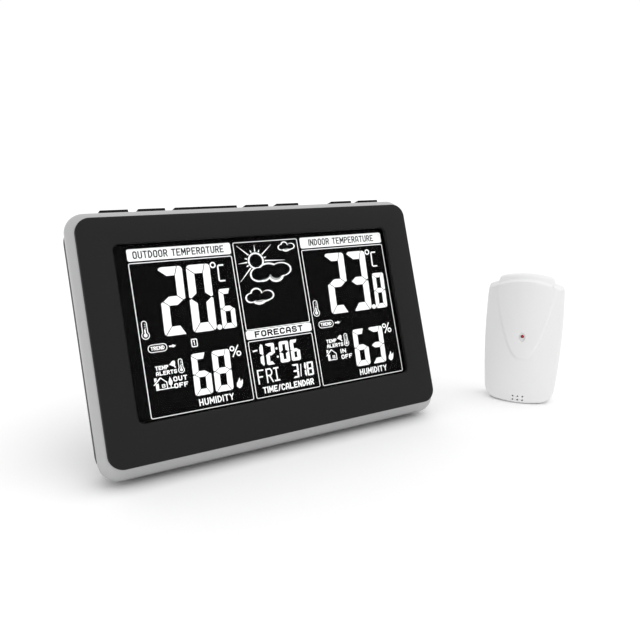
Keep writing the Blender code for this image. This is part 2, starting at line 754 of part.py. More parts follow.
def start_solid(name):
    """A block that covers the sensor, to be cut down to one of its shells."""
    bm = bmesh.new()
    block(bm, (-50, -40, -20), (50, 40, 120))
    return piece(name, bm, WHITE, SENSOR)


def sensor_front_shell():
    obj = start_solid("sensor_front_shell")
    keep(obj, shell_solid("front_outer", 0, -40, SHELL_SPLIT))
    bm = bmesh.new()
    prism_y(bm, apron_view(), -30, 0)
    apron = tool("apron_tool", bm, SENSOR)
    bm = bmesh.new()
    prism_z(bm, plan_view(0, -APRON_RISE), -10, 120)
    keep(apron, tool("apron_plan", bm, SENSOR))
    join(obj, apron)
    cut(obj, shell_solid("front_inner", SHELL_WALL, -40, 40))
    bm = bmesh.new()
    for x, z in SENSOR_POSTS:
        rod(bm, (x, SHELL_SPLIT / 2 - 1, z), 2.3, SHELL_SPLIT + 2, "Y", 14)
    join(obj, tool("front_post_tool", bm, SENSOR))
    bm = bmesh.new()
    for x, z in SENSOR_POSTS:
        rod(bm, (x, SHELL_SPLIT, z), 1.0, 7, "Y", 10)
    rod(bm, (0, -9, LED_Z), 1.5, 12, "Y", 16)
    for column in (-1, 0, 1):
        for row in (0, 1):
            rod(bm, (3.2 * column, -8, 2.4 + 2.6 * row), 0.6, 12, "Y", 8)
    cut(obj, tool("front_hole_cutter", bm, SENSOR))


def sensor_rear_shell():
    obj = start_solid("sensor_rear_shell")
    keep(obj, shell_solid("rear_outer", 0, SHELL_SPLIT + GAP, 40))
    hollow = shell_solid("rear_inner", SHELL_WALL, -40, 40)
    wide, low, high = SENSOR_BAY
    bm = bmesh.new()
    rim = 2.9
    block(bm, (-wide - rim, -0.6, low - rim), (wide + rim, 40, high + rim))
    for x, z in SENSOR_POSTS:
        rod(bm, (x, 15, z), 2.9, 30, "Y", 14)
    bays = tool("rear_bay_tool", bm, SENSOR)
    cut(hollow, bays)
    cut(obj, hollow)
    bm = bmesh.new()
    block(bm, (-wide - rim, -0.4, low - rim), (wide + rim, SHELL_SPLIT + 1, high + rim))
    join(obj, tool("bay_front_tool", bm, SENSOR))
    bm = bmesh.new()
    block(bm, (-wide, 0.9, low), (wide, 30, high))
    cut(obj, tool("sensor_bay_cutter", bm, SENSOR))
    bm = bmesh.new()
    block(bm, (-wide - 1.7, SHELL_BACK - DOOR_T - GAP, low - 1.7), (wide + 1.7, 30, high + 1.7))
    for x, z in SENSOR_POSTS:
        rod(bm, (x, 19, z), 2.1, 20, "Y", 14)
    rod(bm, (0, SHELL_BACK, 75.6), 3.75, 8, "Y", 24)
    cut(obj, tool("sensor_door_step_cutter", bm, SENSOR))
    bm = bmesh.new()
    plate(bm, SHELL_BACK - 4, 8, 1.5, 2.6, 79.3, 1.49)
    cut(obj, tool("sensor_keyhole_slot_cutter", bm, SENSOR))
    bm = bmesh.new()
    for x, z in SENSOR_POSTS:
        rod(bm, (x, 7, z), 1.2, 8, "Y", 10)
    block(bm, (SWITCH_X - SWITCH_TRAVEL - 1.6, 10, SWITCH_Z - 1.2),
          (SWITCH_X + 1.6, 40, SWITCH_Z + 1.2))
    cut(obj, tool("sensor_hole_cutter", bm, SENSOR))


def sensor_door():
    wide, low, high = SENSOR_BAY
    bm = bmesh.new()
    middle = (high - low) / 2 + 1.4
    block(bm, (-wide - 1.4, -DOOR_T, -middle), (wide + 1.4, 0, middle))
    at = (0, SHELL_BACK, (low + high) / 2)
    obj = piece("sensor_door", bm, WHITE, SENSOR, at)
    bm = bmesh.new()
    for k in range(4):
        z = middle - 5 - 1.8 * k
        block(bm, (-6, -0.5, z - 0.4), (6, 1, z + 0.4))
    cut(obj, tool("sensor_grip_cutter", bm, SENSOR, at))


def channel_switch():
    """A three-position slide switch, reached through a slot in the back."""
    bm = bmesh.new()
    block(bm, (-1.3, 0, -0.9), (1.3, 5.2, 0.9))
    dark = look("channel_switch", (0.04, 0.04, 0.04), 0.5)
    at = (SWITCH_X, 8.5, SWITCH_Z)
    obj = piece("channel_switch", bm, dark, SENSOR, at)
    bm = bmesh.new()
    block(bm, (-2.2, 0.1, -1.6), (2.2, 2.4, 1.5))
    join(obj, tool("switch_flange_tool", bm, SENSOR, at))
    bm = bmesh.new()
    block(bm, (-12, 4.4, 6.4), (0, 8.0, 10.8))
    piece("switch_body", bm, look("switch_body", (0.5, 0.5, 0.5), 0.35, 0.8), SENSOR)


def sensor_board():
    bm = bmesh.new()
    block(bm, (-14, -2.6, 12), (14, -1.4, 74))
    obj = piece("sensor_board", bm, look("sensor_board", (0.02, 0.12, 0.05), 0.45), SENSOR)
    bm = bmesh.new()
    block(bm, (-6, -3.9, 54), (4, -2.4, 64))
    join(obj, tool("sensor_chip_tool", bm, SENSOR))


def sensor_led():
    bm = bmesh.new()
    rod(bm, (0, -5.55, LED_Z), 1.2, 5.1, "Y", 14)
    obj = piece("sensor_led", bm, look("sensor_led", (0.5, 0.02, 0.03), 0.15), SENSOR)
    soften(obj, 0.6)


def sensor_probe():
    """Temperature and humidity element just behind the vent holes."""
    bm = bmesh.new()
    block(bm, (-5, -5.0, 2.6), (5, -2.6, 8.6))
    piece("sensor_probe", bm, look("sensor_probe", (0.85, 0.85, 0.83), 0.5), SENSOR)


def build():
    steel = look("screw_steel", (0.5, 0.5, 0.5), 0.35, 1)
    front_bezel()
    display_window()
    silver_frame()
    lcd_holder()
    lcd_panel()
    light_guide()
    lcd_connector()
    main_board()
    for index, (x, z) in enumerate(BOARD_SCREWS, 1):
        place = (x, BOARD_Y + BOARD_T + 0.1, z)
        screw(f"board_screw_{index}", place, CONSOLE, steel, (2.0, 1.3), (1.0, 6.0))
    rear_cover()
    for index, (x, z) in enumerate(POSTS, 1):
        screw(f"case_screw_{index}", (x, 25.7, z), CONSOLE, steel, (2.6, 2.0), (1.35, 14.0))
    console_feet()
    buttons()
    button_board()
    table_stand()
    stand_pad()
    stand_pin()
    battery_door()
    battery_set("battery", [BAY_X + CELL_PITCH * k for k in (-1, 0, 1)], BAY_FLOOR + 5.7,
                BAY_Z - BAY_H / 2 + GAP, BAY_Z + BAY_H / 2 - GAP, CONSOLE)
    receiver_module()
    wire("receiver_antenna", helix(7, 2.0, 1.4, (-26, 21, 44)), 0.3, (0.5, 0.2, 0.06), CONSOLE)
    buzzer()
    room_sensor()
    dc_jack()
    sensor_front_shell()
    sensor_rear_shell()
    sensor_door()
    channel_switch()
    sensor_board()
    sensor_led()
    sensor_probe()
    low, high = SENSOR_BAY[1:]
    battery_set("sensor", list(SENSOR_CELLS), 6.6, low + GAP, high - GAP, SENSOR)
    wire("sensor_antenna", helix(6, 1.1, 1.4, (-4.2, -4.25, 70)), 0.3, (0.5, 0.2, 0.06), SENSOR)
    for index, (x, z) in enumerate(SENSOR_POSTS, 1):
        screw(f"sensor_screw_{index}", (x, 9.4, z), SENSOR, steel, (1.8, 1.5), (0.9, 7.0))


build()
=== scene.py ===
import math

import bmesh
import bpy
from mathutils import Matrix, Vector


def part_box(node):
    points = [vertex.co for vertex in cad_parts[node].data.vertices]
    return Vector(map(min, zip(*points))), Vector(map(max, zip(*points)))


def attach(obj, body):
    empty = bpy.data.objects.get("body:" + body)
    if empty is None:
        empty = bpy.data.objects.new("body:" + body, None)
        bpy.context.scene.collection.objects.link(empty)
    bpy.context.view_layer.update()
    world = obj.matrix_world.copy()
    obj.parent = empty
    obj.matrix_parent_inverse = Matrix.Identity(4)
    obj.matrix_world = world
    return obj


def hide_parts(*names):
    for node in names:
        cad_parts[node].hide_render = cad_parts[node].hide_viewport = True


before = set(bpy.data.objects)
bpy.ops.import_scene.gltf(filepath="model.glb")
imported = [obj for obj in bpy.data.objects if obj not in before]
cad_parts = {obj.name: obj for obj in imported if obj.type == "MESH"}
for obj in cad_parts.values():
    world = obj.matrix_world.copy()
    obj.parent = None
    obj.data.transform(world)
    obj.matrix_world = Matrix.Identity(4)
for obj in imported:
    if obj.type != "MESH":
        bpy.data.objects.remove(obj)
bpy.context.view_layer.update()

# The looks of a home weather station: a leaning desk console with a wide display, and the
# white outdoor sensor beside it. Lengths are in millimetres inside each unit's own frame.
# The console's frame has x to the right, y into the case from the bezel's face and z up the
# face from its centre. The sensor's frame has x across, y to the back and z up.
MM = 0.001
GAP = 0.3

# ------------------------------------------------------------------ frames of the two units

LEAN = math.radians(19)
SENSOR_TURN = math.radians(-50)
WINDOW_CENTRE = Vector((0, 3.1, 3.05))
DOOR_CENTRE = Vector((0, 13.2, 40.5))


def unit_frame(turn, node, centre):
    """The unit's matrix, from where one of its plain plates lies."""
    low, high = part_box(node)
    rotation = turn.to_4x4()
    return Matrix.Translation((low + high) / 2 - rotation @ (centre * MM)) @ rotation


CONSOLE = unit_frame(Matrix.Rotation(-LEAN, 3, "X"), "display_window", WINDOW_CENTRE)
SENSOR = unit_frame(Matrix.Rotation(SENSOR_TURN, 3, "Z"), "sensor_door", DOOR_CENTRE)
WORLD = Matrix.Identity(4)

# Console sizes
BEZEL_W, BEZEL_H, BEZEL_R, BEZEL_T = 205.0, 129.2, 8.0, 3.3
WINDOW_W, WINDOW_H, WINDOW_R, WINDOW_Z = 170.6, 93.6, 3.5, 3.05
LENS_Y, LENS_LAP = 2.7, 3.0
FRAME_W, FRAME_TOP, FRAME_BOTTOM, FRAME_R, FRAME_BACK = 106.4, 68.9, -70.8, 10.5, 12.0
COVER_Y, COVER_BACK, WALL = 12.3, 30.0, 2.0
ART_X, ART_Z, ART_Y = 2.6, 2.4, 3.72
KEY_W, KEY_GAP, KEY_LONG, KEY_SPACE, KEY_LEFT = 15.2, 5.3, 37.8, 23.5, -86.6
KEY_Y, KEY_DEPTH, KEY_TOP, KEY_FOOT = 12.6, 7.8, 71.4, 63.2
KEY_NAMES = ("mode_button", "set_button", "light_button", "up_button",
             "down_button", "alarm_button", "channel_button")
HINGE_Y, HINGE_Z, STAND_OPEN = 27.4, 34.5, math.radians(34)
STAND_W, STAND_T, STAND_LENGTH, PAD_T = 56.0, 3.4, 104.0, 2.0
BAY_X, BAY_Z, BAY_W, BAY_H, BAY_FLOOR, DOOR_T = 62.0, 6.0, 36.0, 54.0, 16.9, 1.6
POSTS = ((-92.5, 53.5), (92.5, 53.5), (-92.5, -55.0), (92.5, -55.0))
POST_R, SCREW_R, SCREW_HEAD_R = 3.8, 1.6, 3.0
STAND_GAP, HINGE_INSET, BARREL_R, RECESS_W = 1.5, 1.7, 2.2, 21
JACK_X, JACK_Z, HANGER_X, HANGER_Z, HANGER_R = -70, -28, 62, 46, 3.6
VENT_X, VENT_Z, VENT_STEP_X, VENT_STEP_Z, VENT_W, VENT_H = -84, -2, 3.4, 6.5, 0.7, 2.2

# Sensor sizes
SHELL_W, SHELL_WIDEST, SHELL_CURVE = 25.2, 52.0, 0.00107
SHELL_TOP, SHELL_ARCH, SHELL_FOOT_R = 86.4, 4.4, 5.0
SHELL_BULGE, SHELL_BACK, SHELL_SPLIT, SHELL_WALL = 9.0, 14.0, 5.0, 1.8
CAP_TOP, CAP_W, CAP_ARCH, CAP_STEP = 90.0, 17.4, 2.4, 2.6
TOP_FALL, FOOT_ARCH, LEDGE_ARCH = 0.12, 1.5, 6.2
APRON_TIP, APRON_W, APRON_RISE, APRON_CURVE = 31.0, 21.2, 0.9, 2.25
CAP_BASE = 19.5
LED_Z = 47.4
SENSOR_POSTS = ((-18, 8), (18, 8), (-19.5, 77), (19.5, 77))
SENSOR_BAY = (13.0, 14.0, 67.0)
SENSOR_POST_R, SENSOR_HANGER_R, SENSOR_HANGER_Z = 2.9, 3.75, 75.6
OUTSIDE = 40
SWITCH_X, SWITCH_Z, SWITCH_TRAVEL = -3.6, 9.3, 4.4


# ------------------------------------------------------------------ materials

def shader_of(name):
    """A new material with its node tree, its shader and the piece's own coordinates."""
    mat = bpy.data.materials.new(name)
    mat.use_nodes = True
    tree = mat.node_tree
    shader = next(n for n in tree.nodes if n.type == "BSDF_PRINCIPLED")
    where = tree.nodes.new("ShaderNodeTexCoord").outputs["Object"]
    return mat, tree, shader, where


def set_inputs(node, values):
    for name, value in values.items():
        node.inputs[name].default_value = value


def noise(tree, where, scale, detail=2.0, rough=0.5):
    node = tree.nodes.new("ShaderNodeTexNoise")
    set_inputs(node, {"Scale": scale, "Detail": detail, "Roughness": rough})
    tree.links.new(where, node.inputs["Vector"])
    return node.outputs["Fac"]


def blend_values(tree, factor, low, high):
    """A number that runs from low to high with the factor."""
    node = tree.nodes.new("ShaderNodeMapRange")
    set_inputs(node, {"From Min": 0.3, "From Max": 0.7, "To Min": low, "To Max": high})
    tree.links.new(factor, node.inputs["Value"])
    return node.outputs["Result"]


def blend_colours(tree, factor, low, high):
    node = tree.nodes.new("ShaderNodeMix")
    node.data_type = "RGBA"
    set_inputs(node, {"A": (*low, 1), "B": (*high, 1)})
    tree.links.new(factor, node.inputs["Factor"])
    return node.outputs["Result"]


def moulded(name, colour, roughness, grain=2600.0, depth=0.012, spread=0.08, specular=0.5,
            metallic=0.0):
    """Moulded or painted surface: fine grain, slow colour drift and uneven gloss."""
    mat, tree, shader, where = shader_of(name)
    drift = noise(tree, where, 38.0, 3.0)
    fine = noise(tree, where, grain, 2.0, 0.6)
    low = tuple(c * (1 - spread) for c in colour)
    high = tuple(min(1.0, c * (1 + spread)) for c in colour)
    tree.links.new(blend_colours(tree, drift, low, high), shader.inputs["Base Color"])
    gloss = blend_values(tree, fine, roughness - 0.05, roughness + 0.05)
    tree.links.new(gloss, shader.inputs["Roughness"])
    bump = tree.nodes.new("ShaderNodeBump")
    set_inputs(bump, {"Distance": depth * MM, "Strength": 1.0})
    tree.links.new(fine, bump.inputs["Height"])
    tree.links.new(bump.outputs["Normal"], shader.inputs["Normal"])
    set_inputs(shader, {"Metallic": metallic, "Specular IOR Level": specular})
    return mat


def brushed(name, colour, roughness, stretch):
    """Metal with fine lines across one direction."""
    mat, tree, shader, where = shader_of(name)
    scale = tree.nodes.new("ShaderNodeVectorMath")
    scale.operation = "MULTIPLY"
    scale.inputs[1].default_value = stretch
    tree.links.new(where, scale.inputs[0])
    lines = noise(tree, scale.outputs["Vector"], 900.0, 3.0)
    low = tuple(c * 0.85 for c in colour)
    tree.links.new(blend_colours(tree, lines, low, colour), shader.inputs["Base Color"])
    tree.links.new(blend_values(tree, lines, roughness, roughness + 0.15),
                   shader.inputs["Roughness"])
    set_inputs(shader, {"Metallic": 1.0})
    return mat


def clear(name, colour, alpha, roughness=0.04):
    mat, tree, shader, where = shader_of(name)
    smear = noise(tree, where, 60.0, 4.0)
    tree.links.new(blend_values(tree, smear, roughness, roughness + 0.05),
                   shader.inputs["Roughness"])
    set_inputs(shader, {"Base Color": (*colour, 1), "Alpha": alpha, "Specular IOR Level": 0.5})
    return mat


def striped(name, one, two, scale, direction, roughness=0.5):
    """Two colours in even bands, for the display connector and the cells' sleeves."""
    mat, tree, shader, where = shader_of(name)
    wave = tree.nodes.new("ShaderNodeTexWave")
    wave.bands_direction = direction
    set_inputs(wave, {"Scale": scale, "Distortion": 0.0})
    tree.links.new(where, wave.inputs["Vector"])
    tree.links.new(blend_colours(tree, wave.outputs["Fac"], one, two),
                   shader.inputs["Base Color"])
    set_inputs(shader, {"Roughness": roughness})
    return mat


def board_look(name, colour):
    """Solder mask with fine copper tracks showing faintly through it."""
    mat, tree, shader, where = shader_of(name)
    brick = tree.nodes.new("ShaderNodeTexBrick")
    set_inputs(brick, {"Scale": 160.0, "Mortar Size": 0.03, "Color1": (*colour, 1),
                       "Color2": (*(c * 0.7 for c in colour), 1),
                       "Mortar": (*(min(1, c * 2 + 0.03) for c in colour), 1)})
    tree.links.new(where, brick.inputs["Vector"])
    tree.links.new(brick.outputs["Color"], shader.inputs["Base Color"])
    set_inputs(shader, {"Roughness": 0.35})
    return mat


BEZEL = moulded("bezel_black", (0.0095, 0.0095, 0.0097), 0.55, 3200, 0.006, 0.04, 0.16)
COVER = moulded("cover_black", (0.013, 0.013, 0.0134), 0.6, 1500, 0.03, 0.08, 0.3)
KEYS = moulded("button_black", (0.006, 0.006, 0.0062), 0.5, 2600, 0.006, 0.06, 0.1)
INNER = moulded("inner_black", (0.02, 0.02, 0.02), 0.6, specular=0.2)
SILVER = moulded("silver_trim", (0.44, 0.44, 0.445), 0.36, 5200, 0.004, 0.03, 0.5, 0.6)
RUBBER = moulded("foot_rubber", (0.02, 0.02, 0.02), 0.85, 1800, 0.03)
WHITE = moulded("shell_white", (0.78, 0.78, 0.78), 0.5, 2400, 0.006, 0.01, 0.35)
PARTS_BLACK = moulded("component_black", (0.02, 0.02, 0.02), 0.5)
ELEMENT = moulded("element_white", (0.8, 0.8, 0.78), 0.5)
GUIDE = moulded("light_guide", (0.85, 0.87, 0.88), 0.3)
STEEL = brushed("steel", (0.55, 0.55, 0.56), 0.28, (1, 1, 6))
NICKEL = brushed("contact_nickel", (0.7, 0.69, 0.66), 0.22, (6, 1, 1))
COPPER = brushed("copper", (0.55, 0.22, 0.08), 0.3, (1, 4, 4))
BOARD = board_look("circuit_board", (0.015, 0.10, 0.045))
MODULE = board_look("module_board", (0.02, 0.05, 0.16))
CONNECTOR = striped("connector_rubber", (0.35, 0.03, 0.03), (0.02, 0.02, 0.02), 320, "X")
SLEEVE = striped("cell_wrap", (0.03, 0.10, 0.22), (0.45, 0.46, 0.48), 14, "Z", 0.3)
DISPLAY = moulded("display_black", (0.0014, 0.0013, 0.0013), 0.35, 900, 0.0, 0.1, 0.02)
WINDOW = clear("clear_window", (0.01, 0.01, 0.011), 0.03)
LED = moulded("led_red", (0.42, 0.008, 0.03), 0.15, 900, 0.0, 0.1, 0.6)


def lit(name, colour, strength):
    """The lit parts of the display: even, with a very slight drift in brightness."""
    mat, tree, shader, where = shader_of(name)
    drift = noise(tree, where, 24.0, 1.0)
    low = tuple(c * 0.97 for c in colour)
    mixed = blend_colours(tree, drift, low, colour)
    tree.links.new(mixed, shader.inputs["Base Color"])
    tree.links.new(mixed, shader.inputs["Emission Color"])
    set_inputs(shader, {"Emission Strength": strength, "Roughness": 0.6,
                        "Specular IOR Level": 0.1})
    return mat


ART = lit("display_figures", (0.92, 0.93, 0.93), 0.3)
ART_DIM = lit("display_shading", (0.40, 0.40, 0.40), 0.2)


# ------------------------------------------------------------------ mesh helpers

def place(name, bm, unit, mat, body, slot=None, at=(0, 0, 0), turn=None, sharp=30):
    """Write bm, in millimetres, as a piece in metres that rides on a body."""
    bmesh.ops.recalc_face_normals(bm, faces=bm.faces)
    local = Matrix.Translation(Vector(at) * MM)
    if turn is not None:
        local = local @ turn
    bm.transform(unit @ local @ Matrix.Scale(MM, 4))
    mesh = bpy.data.meshes.new(name)
    bm.to_mesh(mesh)
    bm.free()
    obj = bpy.data.objects.new(name, mesh)
    bpy.context.scene.collection.objects.link(obj)
    mesh.shade_smooth()
    mesh.set_sharp_from_angle(angle=math.radians(sharp))
    if mat is not None:
        mesh.materials.append(mat)
    if body is not None:
        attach(obj, body)
    return obj


def tool(unit, shape, *sizes, at=(0, 0, 0), turn=None):
    """A shape that only cuts a piece or joins it."""
    bm = bmesh.new()
    shape(bm, *sizes)
    return place("tool", bm, unit, None, None, None, at, turn)


def change(obj, others, operation="DIFFERENCE"):
    """Cut a piece with tools, or join it to them, and remove the tools."""
    for other in others:
        step = obj.modifiers.new("shape", "BOOLEAN")
        step.operation = operation
        step.solver = "EXACT"
        step.object = other
    bpy.context.view_layer.update()
    shaped = obj.evaluated_get(bpy.context.evaluated_depsgraph_get())
    mesh = bpy.data.meshes.new_from_object(shaped)
    obj.modifiers.clear()
    old = obj.data
    obj.data = mesh
    bpy.data.meshes.remove(old)
    for other in others:
        bpy.data.objects.remove(other)
    mesh.shade_smooth()
    mesh.set_sharp_from_angle(angle=math.radians(30))


def round_edges(obj, width, steps=3):
    bevel = obj.modifiers.new("edges", "BEVEL")
    bevel.width = width * MM
    bevel.segments = steps
    bevel.limit_method = "ANGLE"
    bevel.angle_limit = math.radians(40)
    bevel.harden_normals = True


def block(bm, low, high):
    low = Vector(low)
    high = Vector(high)
    size = Matrix.Diagonal((*(high - low), 1))
    bmesh.ops.create_cube(bm, size=1, matrix=Matrix.Translation((low + high) / 2) @ size)


AXIS_TURN = {"X": Matrix.Rotation(math.pi / 2, 4, "Y"),
             "Y": Matrix.Rotation(-math.pi / 2, 4, "X")}


def rod(bm, centre, radius, length, axis, steps=32):
    bmesh.ops.create_cone(bm, cap_ends=True, segments=steps, radius1=radius, radius2=radius,
                          depth=length, matrix=Matrix.Translation(centre) @ AXIS_TURN[axis])


def bridge(bm, loops):
    """Bands of faces between neighbouring loops of equal counts."""
    for one, two in loops:
        for i in range(len(one)):
            j = (i + 1) % len(one)
            bm.faces.new((one[i], one[j], two[j], two[i]))


def skin(bm, rings, closed=False):
    """A loft through rings of equal counts: capped at both ends, or closed round on itself."""
    loops = [[bm.verts.new(point) for point in ring] for ring in rings]
    pairs = list(zip(loops, loops[1:]))
    if closed:
        pairs.append((loops[-1], loops[0]))
    bridge(bm, pairs)
    if not closed:
        bm.faces.new(loops[0][::-1])
        bm.faces.new(loops[-1])


def lofted(name, rings, unit, mat, body, slot, closed=False, **more):
    bm = bmesh.new()
    skin(bm, rings, closed)
    return place(name, bm, unit, mat, body, slot, **more)


def rounded(y, half_w, top, bottom, radius, steps=16):
    """A rounded rectangle at a depth, as a ring of points."""
    ring = []
    for side, edge, start in ((1, top, 0), (-1, top, 90), (-1, bottom, 180), (1, bottom, 270)):
        centre_x = side * (half_w - radius)
        centre_z = edge - radius if edge == top else edge + radius
        for k in range(steps + 1):
            angle = math.radians(start + 90 * k / steps)
            ring.append((centre_x + radius * math.cos(angle), y,
                         centre_z + radius * math.sin(angle)))
    return ring


def plate(bm, y, depth, half_w, half_h, centre_z, radius):
    skin(bm, [rounded(level, half_w, centre_z + half_h, centre_z - half_h, radius, 8)
              for level in (y, y + depth)])


def quarter(steps):
    """Shares (across, down) along a quarter-round edge."""
    for k in range(steps + 1):
        angle = math.pi / 2 * k / steps
        yield 1 - math.cos(angle), 1 - math.sin(angle)


# ------------------------------------------------------------------ console: front

def front_bezel():
    """A plate with rounded edges, and an opening with a rounded lip and a ledge for the window."""
    half_w, half_h = BEZEL_W / 2, BEZEL_H / 2
    win_w, win_h = WINDOW_W / 2, WINDOW_H / 2
    edge, lip, lens_r = 0.9, 0.8, 2
    rings = [rounded(BEZEL_T, half_w, half_h, -half_h, BEZEL_R)]
    for across, down in quarter(5):
        inset = edge * across
        rings.append(rounded(edge * down, half_w - inset, half_h - inset, inset - half_h,
                             BEZEL_R - inset))
    for across, down in list(quarter(4))[::-1]:
        grow = lip * across
        rings.append(rounded(lip * down, win_w + grow, WINDOW_Z + win_h + grow,
                             WINDOW_Z - win_h - grow, WINDOW_R + grow))
    pocket = LENS_Y - GAP
    rings.append(rounded(pocket, win_w, WINDOW_Z + win_h, WINDOW_Z - win_h, WINDOW_R))
    wide, high = win_w + LENS_LAP, win_h + LENS_LAP
    rings.append(rounded(pocket, wide, WINDOW_Z + high, WINDOW_Z - high, lens_r))
    rings.append(rounded(BEZEL_T, wide, WINDOW_Z + high, WINDOW_Z - high, lens_r))
    obj = lofted("bezel_plate", rings, CONSOLE, BEZEL, "console", "bezel_black", True)
    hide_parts("front_bezel")


def silver_frame():
    """The silver ring: a soft flare out to its full width, and a small slope at the back."""
    grow = (FRAME_W - BEZEL_W / 2, FRAME_TOP - BEZEL_H / 2, FRAME_BOTTOM + BEZEL_H / 2)
    front, widest, narrow = BEZEL_T + GAP, 9.9, 0.1

    def ring(y, share):
        return rounded(y, BEZEL_W / 2 + grow[0] * share, BEZEL_H / 2 + grow[1] * share,
                       -BEZEL_H / 2 + grow[2] * share, BEZEL_R + (FRAME_R - BEZEL_R) * share)

    rings = []
    steps = 12
    for k in range(steps + 1):
        part = k / steps
        share = narrow + (1 - narrow) * math.sin(part * math.pi / 2)
        rings.append(ring(front + (widest - front) * part, share))
    rings.append(ring(FRAME_BACK - 0.5, 1))
    rings.append(ring(FRAME_BACK, 0.93))
    inner_w, inner_h, inner_r = 100.0, 62.0, 14.5
    for y in (FRAME_BACK, front):
        rings.append(rounded(y, inner_w, inner_h, -inner_h, inner_r))
    obj = lofted("silver_ring", rings, CONSOLE, SILVER, "console", "silver_trim", True, sharp=50)
    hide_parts("silver_frame")


# ------------------------------------------------------------------ console: rear cover

def key_spans():
    spans = []
    left = KEY_LEFT
    for index in range(len(KEY_NAMES)):
        width = KEY_LONG if index == 2 else KEY_W
        if index == 5:
            left += KEY_SPACE - KEY_GAP
        spans.append((left, left + width))
        left += width + KEY_GAP
    return spans


def cover_rings(grow, front, back, steps=12):
    """Straight sides, then one round shoulder into the flat back."""
    shoulder = 22.0
    side = (106.0, 68.4, 69.9, 12.0)
    rim = (105.6, 67.9, 69.3, 12.0)
    rear = (96.5, 60.0, 63.0, 8.0)

    def ring(y, size):
        half_w, top, bottom, radius = (s + grow for s in size)
        return rounded(y, half_w, top, -bottom, radius)

    rings = [ring(front, side)]
    for k in range(steps + 1):
        angle = math.pi / 2 * k / steps
        share = 1 - math.cos(angle)
        size = [a + (b - a) * share for a, b in zip(rim, rear)]
        rings.append(ring(shoulder + (back - shoulder) * math.sin(angle), size))
    return rings


def vents(bm):
    """The buzzer's sound slots: three rows of six."""
    for row in range(3):
        for column in range(6):
            x, z = VENT_X + VENT_STEP_X * column, VENT_Z + VENT_STEP_Z * row
            skin(bm, [[(x + px, y, pz) for px, _, pz in
                       rounded(y, VENT_W, z + VENT_H, z - VENT_H, VENT_W - 0.01, 6)]
                      for y in (20, OUTSIDE)])


def rear_cover():
    """A hollow shell, walled round the bay, the stand's well and the screw posts."""
    obj = lofted("rear_housing", cover_rings(0.0, COVER_Y, COVER_BACK), CONSOLE, COVER,
                 "console", "cover_black")
    low_x, high_x = BAY_X - BAY_W / 2, BAY_X + BAY_W / 2
    low_z, high_z = BAY_Z - BAY_H / 2, BAY_Z + BAY_H / 2
    half = STAND_W / 2 + STAND_GAP
    rim, lap, floor_t, below = 3.5, 2, 1.8, -80
    well_floor, well_top = 25.0, HINGE_Z + 4.5

    cavity = tool(CONSOLE, skin, cover_rings(-WALL, COVER_Y - 3, COVER_BACK - WALL))
    walls = [tool(CONSOLE, block, (low_x - rim, BAY_FLOOR - 1.3, low_z - rim),
                  (high_x + rim, OUTSIDE, high_z + rim)),
             tool(CONSOLE, block, (-half - floor_t, well_floor - floor_t, below),
                  (half + floor_t, OUTSIDE, well_top + floor_t))]
    walls += [tool(CONSOLE, rod, (x, 32, z), POST_R, 20, "Y") for x, z in POSTS]
    change(cavity, walls)
    change(obj, [cavity])

    boxes = [((low_x, BAY_FLOOR, low_z), (high_x, OUTSIDE, high_z)),
             ((low_x - lap, COVER_BACK - DOOR_T - GAP, low_z - lap),
              (high_x + lap, OUTSIDE, high_z + lap)),
             ((-half, well_floor, below), (half, OUTSIDE, well_top))]
    for left, right in key_spans():
        boxes.append(((left - GAP, COVER_Y - 1, 60), (right + GAP, KEY_Y + KEY_DEPTH + GAP, 75)))
    cutters = [tool(CONSOLE, block, low, high) for low, high in boxes]
    for x, z in POSTS:
        cutters.append(tool(CONSOLE, rod, (x, 24, z), SCREW_R, 12, "Y"))
        cutters.append(tool(CONSOLE, rod, (x, 35.5, z), SCREW_HEAD_R, 20, "Y"))
    cutters.append(tool(CONSOLE, rod, (0, HINGE_Y, HINGE_Z), 1.2, STAND_W + 20, "X"))
    cutters.append(tool(CONSOLE, rod, (JACK_X, COVER_BACK, JACK_Z), 3.6, 10, "Y", 40))
    for x in (-HANGER_X, HANGER_X):
        cutters.append(tool(CONSOLE, rod, (x, 34, HANGER_Z), HANGER_R, 20, "Y", 40))
        cutters.append(tool(CONSOLE, plate, 24, 20, 1.7, 5.2, HANGER_Z + 3.5, 1.69, at=(x, 0, 0)))
    cutters.append(tool(CONSOLE, vents))
    change(obj, cutters)
    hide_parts("rear_cover")


# ------------------------------------------------------------------ console: buttons

def buttons():
    """Each cap has rounded edges, a slightly crowned top and a retaining flange below."""
    middle = KEY_DEPTH / 2
    height = KEY_TOP - KEY_FOOT - 0.05
    corner, edge, crown = 0.6, 0.35, 0.12
    levels = [(0.9, 0.0)]
    levels += [(height - edge * down - crown, edge * across) for across, down in quarter(6)]
    for name, (left, right) in zip(KEY_NAMES, key_spans()):
        half = (right - left) / 2
        rings = []
        for z, inset in levels:
            ring = rounded(0, half - inset, middle - inset, inset - middle,
                           max(0.25, corner - inset), 6)
            rings.append([(x, middle + depth, z) for x, _, depth in ring])
        rings.append([(x * 0.5, middle + (y - middle) * 0.5, height) for x, y, _ in rings[-1]])
        at = ((left + right) / 2, KEY_Y, KEY_FOOT)
        obj = lofted(name + "_cap", rings, CONSOLE, KEYS, name, "button_black", at=at)
        flange = tool(CONSOLE, block, (-half - 1.6, 0.2, -0.4), (half + 1.6, KEY_DEPTH + 0.9, 0.95),
                      at=at)
        change(obj, [flange], "UNION")
        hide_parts(name)


# ------------------------------------------------------------------ console: stand and door

